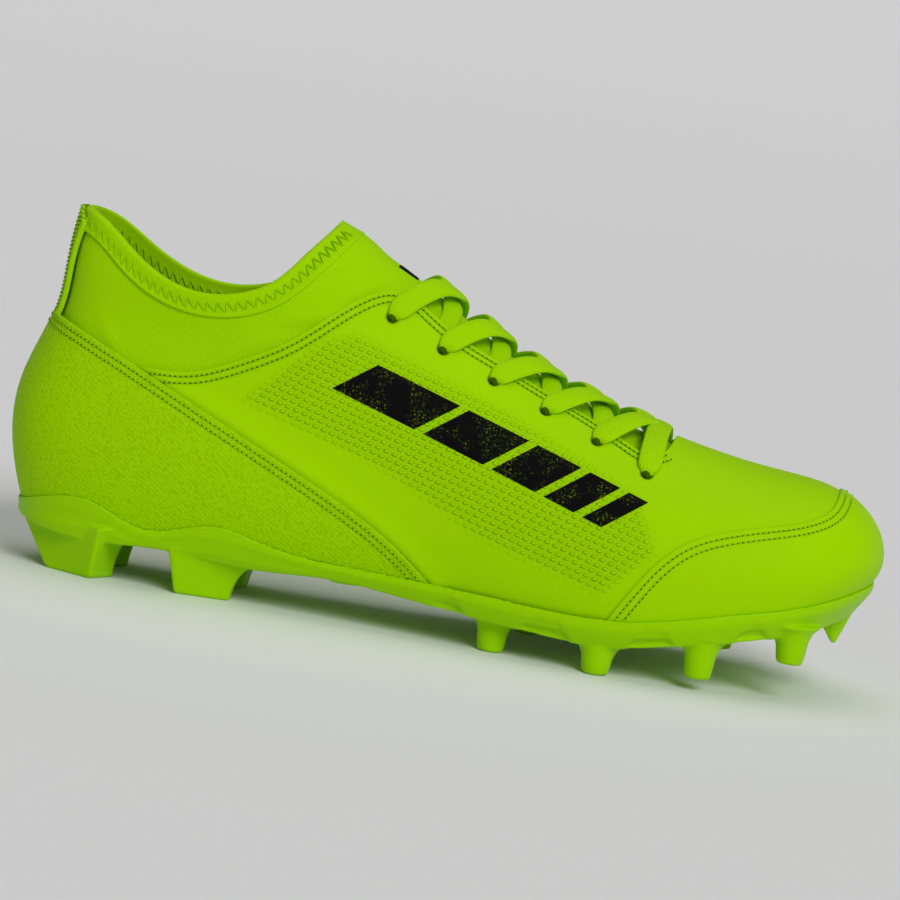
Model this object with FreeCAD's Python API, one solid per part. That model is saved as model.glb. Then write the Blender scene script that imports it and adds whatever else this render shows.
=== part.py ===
import FreeCAD, Part
import math
import os
from FreeCAD import Vector

# A moulded firm-ground football boot for the right foot, in millimetres.
# X runs from heel to toe, Y from the outer (lateral) side to the inner (medial) side, Z up.
# Every layer of the upper is the same foot form, grown or shrunk by an offset and trimmed by side-view lines.

# ---------------------------------------------------------------- foot form
# Each station is one profile of the lateral side, from below the feather edge up to the crown.
# A point is (x, half width, z). The first station is the heel's centre line and the last the toe's.
STATIONS = [
    [(11, 0, 9), (6, 0, 20), (0.0, 0, 40), (0.2, 0, 63), (7.8, 0, 87), (9.8, 0, 113), (16, 0, 148)],
    [(17, 15, 9), (13, 19, 21), (8.5, 24, 40), (9.5, 23.5, 62), (14.7, 18, 87), (15.8, 14.5, 113), (21.5, 0, 148)],
    [(36, 22, 10), (35, 28, 23), (34, 34, 41), (34, 33.5, 62), (35, 26.5, 87), (36, 22, 112), (41, 0, 145)],
    [(62, 23, 12), (62, 30, 23), (62, 36, 42), (62, 36.5, 64), (62, 31, 87), (62, 26.5, 111), (65, 0, 140)],
    [(95, 23, 11), (95, 31, 22), (95, 36, 40), (95, 36, 65), (95, 32.5, 91), (95, 21, 118), (96, 0, 131.5)],
    [(130, 26, 10), (130, 34, 21), (130, 37.5, 37), (130, 36.5, 62), (130, 30, 87), (130, 16, 109), (130, 0, 115.5)],
    [(168, 33, 8), (168, 40, 18), (168, 43.5, 33), (168, 41, 53), (168, 33, 72), (168, 18, 88), (168, 0, 93.5)],
    [(204, 39, 8), (204, 45.5, 17), (204, 48.5, 30), (204, 46, 47), (204, 37, 62), (204, 20, 76), (204, 0, 80.5)],
    [(236, 40, 13), (236, 45.5, 22), (237, 47.5, 34), (237, 45, 47), (236, 37, 59), (235, 20, 70), (234, 0, 74.0)],
    [(260, 33, 19), (263, 39, 29), (265, 41.5, 40), (264, 39.5, 51), (260, 32, 61), (255, 17, 69), (251, 0, 71.5)],
    [(276, 19, 25), (281, 23.5, 35), (285, 25.5, 44), (284, 24, 54), (277, 18.5, 63.5), (268, 9.5, 69), (261, 0, 70.4)],
    [(282, 0, 28), (288.5, 0, 38), (292.0, 0, 46), (290.0, 0, 55), (283, 0, 63.0), (273, 0, 68.3), (264, 0, 70.0)],
]
# The inner side is narrower under the arch: one share of the lateral half width for each station, at the feather.
MEDIAL_SHARE = [1, 1, 1, 0.95, 0.86, 0.8, 0.88, 1.0, 1.02, 1.0, 1.0, 1]
# How far the centre line sways to the inner side at each station.
SWAY = [0, 0, 0, 0, 0, 0.5, 1, 1.5, 2.5, 4, 5, 5.5]
FLOOR_Z = -20.0             # the form's flat underside, well below the sole
AROUND, UP = 30, 14         # poles along one side and up one profile of each skin


# ---------------------------------------------------------------- side-view lines, as (x, z) points
LASTING_LINE = [(-30, 17), (20, 16.5), (60, 18.5), (110, 18.5), (160, 15.5), (204, 14), (232, 18), (262, 26.5),
                (282, 33), (320, 45)]
FLANGE_LINE = [(-30, 19), (5, 21.5), (24, 27.2), (33, 27.2), (50, 21), (60, 22), (75, 26), (92, 23.2),
               (130, 20.4), (172, 19.8), (206, 19.6), (222, 21.6), (245, 27.2), (270, 33.4), (289, 40), (320, 50)]
PLATE_LINE = [(-30, 13.2), (20, 13.3), (55, 15.4), (90, 14.4), (116, 16), (135, 15), (165, 12.6), (190, 11.2),
              (208, 11.2), (232, 15.6), (260, 22), (280, 28.2), (320, 42)]
RIM_LINE = [(-20, 121.5), (8, 121.5), (18, 119.5), (32, 110.8), (45, 103.6), (57, 100.9), (70, 102.6),
            (82, 109.2), (90, 119.5), (96, 128), (103, 140), (112, 155)]
HEM_LINE = [(-20, 113.5), (8, 113.5), (16, 112), (29, 103.6), (43, 95.8), (57, 92.9), (72, 94.6), (86, 101.6),
            (95, 111.5), (102, 121), (109, 133), (118, 148)]
HEEL_PANEL_LINE = [(-20, 87), (9, 84.6), (24, 79.8), (57, 67), (100, 48), (120, 38.6), (137, 28.8), (149, 19.5)]
COLLAR_LINE = [(-20, 74), (30, 74), (44, 73.4), (60, 74.8), (76, 81.5), (91, 90.5), (102, 100), (111, 107.2),
               (119, 110.6), (128.5, 109)]
THROAT_LINE = [(128.5, 109), (143, 100), (158, 93.2), (176, 85.6), (193, 79.2), (206, 73.8), (213, 72.2),
               (217, 74), (219, 82)]
TOE_CAP_LINE = [(205, 10), (208, 19), (213.5, 29), (220.5, 39.5), (229.5, 47.8), (241, 52.8), (254, 56.2),
                (266, 59.2), (274, 61.6), (279, 64)]

SOCK_FOOT_LINE = [(-20, 65), (30, 65), (44, 64.4), (60, 65.8), (76, 72), (91, 80.5), (105, 91), (119, 98.6),
                  (130, 96), (143, 88), (158, 81), (176, 73.4), (193, 67), (206, 62), (216, 60), (227, 59.5)]
TONGUE_START = 107.0        # where the collar passes into the tongue
SOCK_TOE_X = 226.0          # the tongue's front end, under the vamp

# ---------------------------------------------------------------- layers of the upper, as offsets from the form
QUARTER = (-1.1, 0.0)
HEEL_PANEL = (0.1, 0.95)
TOE_CAP = (0.1, 0.95)
COUNTER = (-1.6, -0.1)
PUFF = (-1.7, -1.2)
BACKING = (-1.7, -1.2)
LINING = (-2.6, -1.8)
SOCK = (-3.4, -1.8)
TONGUE = (-4.8, -3.2)          # the tongue lies lower, so the lace can pass under the eyestays
BINDING = (-4.3, -0.9)
BINDING_SLOT = (-3.5, -1.7)
PULL_TAB = (-0.8, 0.0)
BOARD_OFFSET = -0.3
SOCKLINER_OFFSET = -3.7
FLANGE = (1.05, 2.9)
FLOOR_OFFSET = 2.0
GRAPHIC = (0.1, 0.35)

BOARD_THICK = 1.8
SOCKLINER_THICK = 3.5
HEEL_LINING_END = 92.0      # where the heel lining meets the vamp lining
PULL_TAB_HALF_WIDTH = 11.0
PULL_TAB_FOOT_Z = 77.0
BACKING_WIDTH, BACKING_INSET = 15.0, 2.5

# ---------------------------------------------------------------- sole
FLEX_X, FLEX_Z = 190.0, 20.0    # the ball's flex line
FLEX_GAP = 0.3
# Conical studs: (x, y, z of the tip). The inner side's stand a little further forward.
STUDS_REAR = [(171, -28.5, 0), (178, 24, 0)]
STUDS_FRONT = [(206.5, -37.5, 0), (239.5, -36.5, 4.2), (268, -27, 12.6),
               (211, 38, 0), (243, 36, 4.6), (269, 25, 12.8)]
STUD_TIP_R, STUD_WAIST_R, STUD_ROOT_R = 4.4, 5.2, 8.6
STUD_FLARE = 4.5            # height of the flare at the root
TOE_STUD_ROOT = [(286.5, 3.5), (279, -5.0), (271, -5.5), (275, 3.5), (271, 12.5), (279, 12.0)]   # (x, y), a chevron
TOE_STUD_TIP, TOE_STUD_TIP_SHARE = (281.5, 3.5), 0.16
TOE_STUD_Z = (19.5, 32.0)
# Bladed heel studs: (x, y) of the ground face's corners, lateral side; mirrored for the inner side.
HEEL_REAR_FOOT = [(19, -16.5), (35.5, -25), (40.5, -13.5), (26, -9)]
HEEL_REAR_ROOT = [(6, -9), (36, -31), (46, -12), (24, -4)]
HEEL_FRONT_FOOT = [(64.5, -23.5), (81.5, -18.5), (80.5, -9.5), (66, -11.5)]
HEEL_FRONT_ROOT = [(61.5, -29), (91, -27), (90, -5), (64, -7)]
ROOT_Z = 17.0

# ---------------------------------------------------------------- lacing
EYELETS = [(121.7, 102.5), (139.8, 94.8), (157.8, 87.5), (176.2, 80.6), (194.5, 73.8), (212.5, 66.4)]   # (x, z)
EYELET_R = 3.2
BACKING_HOLE_R = 5.0       # the backing is cut back further, where the lace turns under it
LACE_WIDTH, LACE_THICK = 7.6, 1.2
LACE_PINCH, LACE_PINCH_THICK = 2.8, 1.5     # the lace's section squeezed through an eyelet
LACE_TUCKED_THICK = 0.6                     # and pressed flat under an eyestay
LACE_OVER, LACE_UNDER, LACE_ARCH = 0.95, -2.55, 1.9    # offset of its middle over, under and before an eyestay
LACE_CROSS_LOW, LACE_CROSS_HIGH = -1.3, 0.9     # and of the two straps where they cross

# ---------------------------------------------------------------- side graphic: a broken slanted bar
GRAPHIC_START, GRAPHIC_END = (113.6, 82.0), (208.1, 53.3)   # (x, z) of the band's middle at its two ends
GRAPHIC_HALF_HEIGHT = 6.6
GRAPHIC_DASHES = [30, 22, 16, 11, 7]
GRAPHIC_GAP = 3.2
GRAPHIC_SLANT = 5.0
TONGUE_GRAPHIC = (-3.1, -2.9)
TONGUE_MARK = [(118.5, -4.5), (126, -2.5), (126, 4.5), (118.5, 2.5)]


# ================================================================ the form as a smooth surface
def loop_points():
    """The stations round the whole form, heel to toe along the lateral side and back along the inner side."""
    last = len(STATIONS) - 1
    loop = []
    for k in range(2 * last):
        i, side = (k, -1) if k <= last else (2 * last - k, 1)
        row = []
        for level, (x, half, z) in enumerate(STATIONS[i]):
            share = 1.0
            if side > 0:
                share = [MEDIAL_SHARE[i], MEDIAL_SHARE[i], (MEDIAL_SHARE[i] + 1) / 2][min(level, 2)]
                if level > 2:
                    share = 1.0
            row.append(Vector(x, side * half * share + SWAY[i], z))
        loop.append(row)
    return loop


def ghost_row(net, k, j):
    """A pole just past the feather edge, or past the crown, where the other side carries on."""
    n, top = len(net), len(net[0]) - 1
    if 0 <= j <= top:
        return net[k % n][j]
    k %= n
    if j < 0:
        return net[k][0] * 2 - net[k][1]
    if k in (0, n // 2):
        return net[k][top] * 2 - net[k][top - 1]
    return net[(n - k) % n][top - 1]


def blend_weights(f):
    """The four weights of a uniform cubic B-spline, a share f into a span."""
    return ((1 - f) ** 3 / 6, (3 * f ** 3 - 6 * f ** 2 + 4) / 6, (-3 * f ** 3 + 3 * f ** 2 + 3 * f + 1) / 6, f ** 3 / 6)


def net_point(net, u, v):
    """A point of the B-spline surface: u counts stations round the loop, v counts levels up the profile."""
    top = len(net[0]) - 1
    iu, iv = math.floor(u), min(math.floor(v), top - 1)
    total = Vector(0, 0, 0)
    for a, wu in enumerate(blend_weights(u - iu)):
        for b, wv in enumerate(blend_weights(v - iv)):
            total += ghost_row(net, iu + a - 1, iv + b - 1) * (wu * wv)
    return total


def pulled_net(points, rounds=14):
    """Poles whose surface passes through the stations' points, found by pulling them out a few times."""
    net = [list(row) for row in points]
    for _ in range(rounds):
        at = [[net_point(net, k, j) for j in range(len(row))] for k, row in enumerate(net)]
        net = [[p + q - s for p, q, s in zip(net[k], points[k], at[k])] for k in range(len(net))]
    return net


NET = pulled_net(loop_points())
TOE_T, CROWN_V = len(STATIONS) - 1, len(STATIONS[0]) - 1


def form_point(side, t, v):
    """A point of the form: side -1 is lateral and 1 inner, t counts stations and v levels."""
    return net_point(NET, t if side < 0 else len(NET) - t, v)


def form_normal(side, t, v):
    """The outward normal, kept in the middle plane along the heel, the toe and the crown."""
    step = 0.03
    tc = min(max(t, 0.0), TOE_T)
    vc = min(max(v, step), CROWN_V - step)
    if v >= CROWN_V:
        along = form_point(side, tc + step, CROWN_V) - form_point(side, tc - step, CROWN_V)
        if 0 < t < TOE_T:
            return Vector(-along.z, 0, along.x).normalize()
    along = form_point(side, tc + step, vc) - form_point(side, tc - step, vc)
    up = form_point(side, tc, vc + step) - form_point(side, tc, vc - step)
    normal = along.cross(up) if side < 0 else up.cross(along)
    if t <= 0 or t >= TOE_T:
        normal.y = 0
    return normal.normalize()


def grown_point(side, t, v, offset):
    """The form's point moved out along the surface's normal."""
    return form_point(side, t, v) + form_normal(side, t, v) * offset


def greville(count, length):
    """Where the poles of a clamped cubic B-spline are sampled."""
    h = length / (count - 3)
    return [0, h / 3] + [h * k for k in range(1, count - 3)] + [length - h / 3, length]


def clamped_knots(count):
    return [4] + [1] * (count - 4) + [4], list(range(count - 2))


def skin_face(side, offset):
    """One side of the grown form as a B-spline face, carried straight down to the flat floor."""
    poles = []
    for t in greville(AROUND, TOE_T):
        column = [grown_point(side, t, v, offset) for v in greville(UP, CROWN_V)]
        foot = column[0]
        drop = [Vector(foot.x, foot.y, FLOOR_Z), Vector(foot.x, foot.y, (foot.z + FLOOR_Z) / 2)]
        poles.append(drop + column)
    around_m, around_k = clamped_knots(AROUND)
    up_m, up_k = clamped_knots(UP + 2)
    surface = Part.BSplineSurface()
    surface.buildFromPolesMultsKnots(poles, around_m, up_m, around_k, up_k, False, False, 3, 3)
    return surface.toShape()


_shells = {}


def form_shell(offset):
    """The closed skin of the form at an offset."""
    if offset not in _shells:
        sides = [skin_face(-1, offset), skin_face(1, offset)]
        rims = []
        for face in sides:
            rims.append(next(e for e in face.Edges if e.BoundBox.ZMax < FLOOR_Z + 0.01))
        floor = Part.Face(Part.Wire(Part.__sortEdges__(rims)))
        shell = Part.Shell(sides + [floor])
        shell.sewShape()
        _shells[offset] = shell
    return _shells[offset]


def form_solid(offset):
    solid = Part.Solid(form_shell(offset))
    if solid.Volume < 0:
        solid.reverse()
    return solid


def layer(offsets):
    """The space between two offsets of the form, as one hollow solid."""
    outer, inner = form_solid(offsets[1]), form_solid(offsets[0])
    hollow = Part.Solid(Part.Compound([outer.Shells[0], inner.Shells[0].reversed()]))
    return hollow


# ================================================================ trimming by side-view lines
def zone(line, far_z, shift=0.0, y0=-90, y1=90):
    """The slab between a smooth side-view line and a level far above or below it."""
    curve = Part.BSplineCurve()
    curve.interpolate([Vector(x, y0, z + shift) for x, z in line])
    start, end = curve.StartPoint, curve.EndPoint
    corners = [end, Vector(end.x, y0, far_z), Vector(start.x, y0, far_z), start]
    face = Part.Face(Part.Wire([curve.toShape()] + Part.makePolygon(corners).Edges))
    return face.extrude(Vector(0, y1 - y0, 0))


def above(line, shift=0.0):
    return zone(line, 200, shift)


def below(line, shift=0.0):
    return zone(line, -60, shift)


def block(x0, x1, y0=-90, y1=90, z0=-60, z1=200):
    return Part.makeBox(x1 - x0, y1 - y0, z1 - z0, Vector(x0, y0, z0))


def outline_prism(points, z0, z1):
    """A plan outline raised straight up."""
    corners = [Vector(x, y, z0) for x, y in points]
    return Part.Face(Part.makePolygon(corners + corners[:1])).extrude(Vector(0, 0, z1 - z0))


def line_z(line, x):
    """Height of a side-view line at x, by straight steps."""
    for (xa, za), (xb, zb) in zip(line, line[1:]):
        if xa <= x <= xb:
            return za + (zb - za) * (x - xa) / (xb - xa)
    return line[-1][1]


# ================================================================ points of the form by side view or by plan
def form_at(side, a, b, axes="xz"):
    """The (t, v) of the form's point with the given two coordinates."""
    t, v = TOE_T * a / 292, CROWN_V * 0.8
    for _ in range(12):
        here = form_point(side, t, v)
        dt = (form_point(side, t + 0.01, v) - here) * 100
        dv = (form_point(side, t, v - 0.01) - here) * -100
        fa, fb = a - here.x, b - (here.z if axes == "xz" else here.y)
        ta, va = dt.x, dv.x
        tb, vb = (dt.z, dv.z) if axes == "xz" else (dt.y, dv.y)
        det = ta * vb - va * tb
        t = min(max(t + (fa * vb - va * fb) / det, 0.2), TOE_T - 0.2)
        v = min(max(v + (ta * fb - fa * tb) / det, 1.5), CROWN_V)
    return t, v


def over_form(x, y):
    """The form's point and normal above a plan position near the lace opening."""
    middle = form_point(1, TOE_T * x / 292, CROWN_V).y
    side = -1 if y < middle else 1
    t, v = form_at(side, x, y, "xy")
    return form_point(side, t, v), form_normal(side, t, v)


def eyelet(side, k):
    """The point and the normal of eyelet k, counted from the ankle."""
    t, v = form_at(side, *EYELETS[k])
    return form_point(side, t, v), form_normal(side, t, v)


# ================================================================ upper
UPPER_FOOT = above(LASTING_LINE, BOARD_THICK + 0.1)
MOUTH = above(RIM_LINE)
THROAT = above(THROAT_LINE)
COLLAR_GAP = above(COLLAR_LINE)


def eyelet_cuts(radius):
    cuts = []
    for side in (-1, 1):
        for k in range(len(EYELETS)):
            point, normal = eyelet(side, k)
            cuts.append(Part.makeCylinder(radius, 12, point - normal * 6, normal))
    return Part.Compound(cuts)


def quarter_vamp():
    """The one-piece synthetic shell, open at the collar and down the lacing."""
    shell = layer(QUARTER).common(UPPER_FOOT)
    shell = shell.cut(COLLAR_GAP).cut(THROAT)
    shell = shell.cut(below(HEEL_PANEL_LINE, -10))
    return shell.cut(eyelet_cuts(EYELET_R))


def heel_counter():
    """The stiff cup that holds the heel, under the textile panel and below the quarter's edge."""
    return layer(COUNTER).common(UPPER_FOOT).common(below(HEEL_PANEL_LINE, -10.3))


def heel_panel():
    return layer(HEEL_PANEL).common(UPPER_FOOT).common(below(HEEL_PANEL_LINE))


def toe_cap():
    edge = Part.BSplineCurve()
    edge.interpolate([Vector(x, -90, z) for x, z in TOE_CAP_LINE])
    ends = [edge.EndPoint, Vector(279, -90, 90), Vector(320, -90, 90), Vector(320, -90, 10), edge.StartPoint]
    front = Part.Face(Part.Wire([edge.toShape()] + Part.makePolygon(ends).Edges)).extrude(Vector(0, 180, 0))
    return layer(TOE_CAP).common(UPPER_FOOT).common(front)


def toe_puff():
    return layer(PUFF).common(UPPER_FOOT).common(block(252, 320))


def eyestay_backing(side):
    """The strip that stiffens one row of eyelets from inside."""
    strip = layer(BACKING).common(below(THROAT_LINE[:-2], -BACKING_INSET)).common(above(THROAT_LINE[:-2], -BACKING_WIDTH))
    half = block(121, 212.5, *sorted((side * 3.0, side * 90)))
    return strip.common(half).cut(eyelet_cuts(BACKING_HOLE_R))


def collar_sock():
    """Stretch collar and tongue in one piece, reaching down under the quarter."""
    reach = above(SOCK_FOOT_LINE)
    collar = layer(SOCK).common(reach).common(block(-20, TONGUE_START + 6))
    tongue = layer(TONGUE).common(reach).common(block(TONGUE_START, SOCK_TOE_X))
    return collar.fuse(tongue).cut(above(RIM_LINE, -1.1))


def linings():
    """The heel lining and the thin vamp lining, both up to the sock's lower edge."""
    sock_room = above(SOCK_FOOT_LINE, -0.3).common(block(-20, SOCK_TOE_X + 0.4))
    whole = layer(LINING).common(UPPER_FOOT).cut(sock_room)
    return whole.common(block(-20, HEEL_LINING_END)), whole.common(block(HEEL_LINING_END + 0.3, 320))


def collar_binding():
    """The turned hem round the mouth, folded over the sock's raw edge."""
    hem = layer(BINDING).common(above(HEM_LINE)).common(below(RIM_LINE))
    return hem.cut(layer(BINDING_SLOT).common(below(RIM_LINE, -1.0)))


def heel_pull_tab():
    half = PULL_TAB_HALF_WIDTH
    return layer(PULL_TAB).common(block(-20, 22, -half, half, PULL_TAB_FOOT_Z)).cut(MOUTH)


def insole_board():
    between = above(LASTING_LINE).cut(above(LASTING_LINE, BOARD_THICK))
    return form_solid(BOARD_OFFSET).common(between)


def sockliner():
    foot = BOARD_THICK + 0.1
    between = above(LASTING_LINE, foot).cut(above(LASTING_LINE, foot + SOCKLINER_THICK))
    return form_solid(SOCKLINER_OFFSET).common(between)


def side_graphic():
    """A generic mark: a slanted bar broken into shorter and shorter dashes. It carries no letters."""
    (xa, za), (xb, zb) = GRAPHIC_START, GRAPHIC_END
    length = math.hypot(xb - xa, zb - za)
    along, across = Vector(xb - xa, 0, zb - za) / length, Vector(za - zb, 0, xb - xa) / length
    dashes, run = [], 0.0
    for dash in GRAPHIC_DASHES:
        corners = []
        for s, h in ((run, -1), (run + dash, -1), (run + dash, 1), (run, 1)):
            at = Vector(xa, -90, za) + along * (s + h * GRAPHIC_SLANT) + across * (h * GRAPHIC_HALF_HEIGHT)
            corners.append(at)
        dashes.append(Part.Face(Part.makePolygon(corners + corners[:1])).extrude(Vector(0, 88, 0)))
        run += dash + GRAPHIC_GAP
    return Part.Compound([layer(GRAPHIC).common(dash) for dash in dashes])


def tongue_graphic():
    """A small plain mark on the front of the collar."""
    return layer(TONGUE_GRAPHIC).common(outline_prism(TONGUE_MARK, 100, 140))


# ================================================================ lace
def lace_route():
    """Half of the lace as (x, y, offset, width share): from the bottom bar's middle up one row of crossings.

    The lace runs over each eyestay, in at the eyelet, under the eyestay and across to the next one.
    """
    halves = {}
    for first in (-1, 1):
        route, side = [], first
        last = len(EYELETS) - 1
        hole, _ = eyelet(side, last)
        other, _ = eyelet(-side, last)
        middle = (hole + other) / 2
        for share in (0.0, 0.3, 0.6):
            at = middle + (hole - middle) * share
            route.append((at.x, at.y, LACE_OVER, 1.0))
        for k in range(last, 0, -1):
            hole, _ = eyelet(side, k)
            arrive = Vector(route[-1][0], route[-1][1], 0)
            target, _ = eyelet(-side, k - 1)
            across = LACE_CROSS_LOW if side < 0 else LACE_CROSS_HIGH
            route += hole_turn(hole, arrive, target)
            steps = [(0.24, LACE_UNDER, 0.7), (0.33, (LACE_UNDER + across) / 2, 1.0), (0.43, across, 1.0)]
            steps += [(0.5, across, 1.0), (0.58, across + 0.3, 1.0), (0.68, LACE_ARCH, 1.0), (0.8, LACE_ARCH, 1.0)]
            for share, offset, wide in steps:
                at = hole + (target - hole) * share
                route.append((at.x, at.y, offset, wide))
            side = -side
        hole, _ = eyelet(side, 0)
        arrive = Vector(route[-1][0], route[-1][1], 0)
        middle_top = Vector(hole.x + 3, 0, 0)
        route += hole_turn(hole, arrive, middle_top)
        halves[first] = route
    return halves


def hole_turn(hole, arrive, leave):
    """Over the eyestay, in at the eyelet and away under the eyestay."""
    inward = Vector(arrive.x - hole.x, arrive.y - hole.y, 0).normalize()
    outward = Vector(leave.x - hole.x, leave.y - hole.y, 0).normalize()
    turn = []
    for reach, offset, share in ((5.0, LACE_OVER, 0.8), (2.2, LACE_OVER, 0.3), (0.3, 0.1, 0.0)):
        turn.append((hole.x + inward.x * reach, hole.y + inward.y * reach, offset, share))
    for reach, offset, share in ((0.3, -1.5, 0.0), (2.2, LACE_UNDER, 0.2), (5.0, LACE_UNDER, 0.6)):
        turn.append((hole.x + outward.x * reach, hole.y + outward.y * reach, offset, share))
    return turn


def lace_centres():
    """The whole lace from one tucked end to the other, as (point, normal, width share, offset)."""
    halves = lace_route()
    whole = halves[-1][::-1] + halves[1][1:]
    centres = []
    for x, y, offset, share in whole:
        point, normal = over_form(x, y)
        centres.append((point + normal * offset, normal, share, offset))
    return centres


def lace():
    """A flat cord with a rounded rectangular section, pinched where it passes an eyelet."""
    centres = lace_centres()
    rings = []
    for i, (point, normal, share, offset) in enumerate(centres):
        before, after = centres[max(i - 1, 0)][0], centres[min(i + 1, len(centres) - 1)][0]
        tangent = (after - before).normalize()
        wide = normal.cross(tangent)
        if share < 0.5:
            wide = Vector(1, 0, 0) - tangent * tangent.x
        wide.normalize()
        if rings and wide.dot(rings[-1][1]) < 0:
            wide = wide * -1
        half_w = (LACE_PINCH + (LACE_WIDTH - LACE_PINCH) * share) / 2
        half_h = (LACE_PINCH_THICK + (LACE_THICK - LACE_PINCH_THICK) * share) / 2
        if offset == LACE_UNDER:
            half_h = LACE_TUCKED_THICK / 2
        rings.append((point, wide, tangent.cross(wide), half_w, half_h))
    return tube(rings)


def tube(rings):
    """One closed solid swept through sections given as (centre, wide, high, half width, half height)."""
    poles = []
    for centre, wide, high, half_w, half_h in rings:
        ring = []
        for a, b in ((1, 0.55), (0.7, 1.15), (-0.7, 1.15), (-1, 0.55), (-1, -0.55), (-0.7, -1.15), (0.7, -1.15),
                     (1, -0.55)):
            ring.append(centre + wide * (a * half_w * 1.05) + high * (b * half_h))
        poles.append(ring)
    along_m, along_k = clamped_knots(len(poles))
    surface = Part.BSplineSurface()
    surface.buildFromPolesMultsKnots(poles, along_m, [1] * 9, along_k, list(range(9)), False, True, 3, 3)
    skin = surface.toShape()
    caps = [Part.Face(Part.Wire([e])) for e in skin.Edges if e.isClosed() and e.Length < 40]
    shell = Part.Shell([skin] + caps)
    shell.sewShape()
    solid = Part.Solid(shell)
    if solid.Volume < 0:
        solid.reverse()
    return solid


# ================================================================ outsole
def cone_stud(x, y, tip_z):
    """A round stud turned from its profile, flaring where it meets the plate."""
    top = line_z(PLATE_LINE, x) + 1.0
    profile = [(0, tip_z), (STUD_TIP_R - 0.8, tip_z), (STUD_TIP_R, tip_z + 0.8),
               (STUD_WAIST_R, top - 1.0 - STUD_FLARE), (STUD_WAIST_R + 1.1, top - 2.6), (STUD_ROOT_R, top - 0.6),
               (STUD_ROOT_R, top), (0, top), (0, tip_z)]
    face = Part.Face(Part.makePolygon([Vector(x + r, y, z) for r, z in profile]))
    return face.revolve(Vector(x, y, 0), Vector(0, 0, 1), 360)


def blade_stud(foot, root, foot_z, root_z, side):
    """A bladed stud lofted from its ground face to its wider root."""
    def ring(corners, z):
        points = [Vector(x, -side * y, z) for x, y in corners]
        return Part.Wire(Part.makePolygon(points + points[:1]).Edges)
    mid = [(xa * 0.8 + xb * 0.2, ya * 0.8 + yb * 0.2) for (xa, ya), (xb, yb) in zip(foot, root)]
    lower = Part.makeLoft([ring(foot, foot_z), ring(mid, foot_z + (root_z - foot_z) * 0.55)], True, True)
    upper = Part.makeLoft([ring(mid, foot_z + (root_z - foot_z) * 0.55), ring(root, root_z)], True, True)
    return lower.fuse(upper)


def toe_stud():
    """The small chevron stud under the tip of the toe."""
    tx, ty = TOE_STUD_TIP
    rings = []
    for share, z in ((TOE_STUD_TIP_SHARE, TOE_STUD_Z[0]), (1.0, TOE_STUD_Z[1])):
        points = [Vector(tx + (x - tx) * share, ty + (y - ty) * share, z) for x, y in TOE_STUD_ROOT]
        rings.append(Part.Wire(Part.makePolygon(points + points[:1]).Edges))
    return Part.makeLoft(rings, True, True)


def outsole():
    """Plate, the upturned flange round the upper, and the studs, moulded in one."""
    plate = form_solid(FLOOR_OFFSET).common(above(PLATE_LINE).cut(above(LASTING_LINE, -0.4)))
    flange = layer(FLANGE).common(above(PLATE_LINE).cut(above(FLANGE_LINE)))
    sole = plate.fuse(flange)
    keep = below(LASTING_LINE, -0.6)
    for stud in STUDS_REAR + STUDS_FRONT:
        sole = sole.fuse(cone_stud(*stud).common(keep))
    sole = sole.fuse(toe_stud().common(keep))
    for side in (-1, 1):
        sole = sole.fuse(blade_stud(HEEL_REAR_FOOT, HEEL_REAR_ROOT, 0.0, ROOT_Z, side).common(keep))
        sole = sole.fuse(blade_stud(HEEL_FRONT_FOOT, HEEL_FRONT_ROOT, 0.0, ROOT_Z, side).common(keep))
    return sole


def split_outsole():
    """The sole parted at the flex line, so that its front can lift."""
    sole = outsole()
    rear = sole.common(block(-20, FLEX_X - FLEX_GAP / 2))
    front = sole.common(block(FLEX_X + FLEX_GAP / 2, 320))
    return rear, front


# ================================================================ the whole boot
def build():
    rear, front = split_outsole()
    heel_lining, vamp_lining = linings()
    return {
        "outsole_rear": rear,
        "outsole_forefoot": front,
        "insole_board": insole_board(),
        "sockliner": sockliner(),
        "heel_counter": heel_counter(),
        "toe_puff": toe_puff(),
        "quarter_vamp": quarter_vamp(),
        "heel_panel": heel_panel(),
        "toe_cap": toe_cap(),
        "eyestay_backing_lateral": eyestay_backing(-1),
        "eyestay_backing_medial": eyestay_backing(1),
        "collar_sock": collar_sock(),
        "heel_lining": heel_lining,
        "vamp_lining": vamp_lining,
        "collar_binding": collar_binding(),
        "heel_pull_tab": heel_pull_tab(),
        "side_graphic": side_graphic(),
        "tongue_graphic": tongue_graphic(),
        "lace": lace(),
    }


def export(nodes):
    """Put the origin at the bottom centre of the whole boot and write one file per piece."""
    box = Part.Compound(list(nodes.values())).optimalBoundingBox(False, False)
    move = Vector(-(box.XMin + box.XMax) / 2, -(box.YMin + box.YMax) / 2, -box.ZMin)
    os.makedirs("parts", exist_ok=True)
    for name, shape in nodes.items():
        placed = shape.copy()
        placed.translate(move)
        placed.exportStep("parts/" + name + ".step")


if __name__ == "__main__":
    export(build())
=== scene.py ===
import math
import bpy
import bmesh
import numpy as np
from mathutils import Matrix, Vector
from mathutils.kdtree import KDTree


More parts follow.
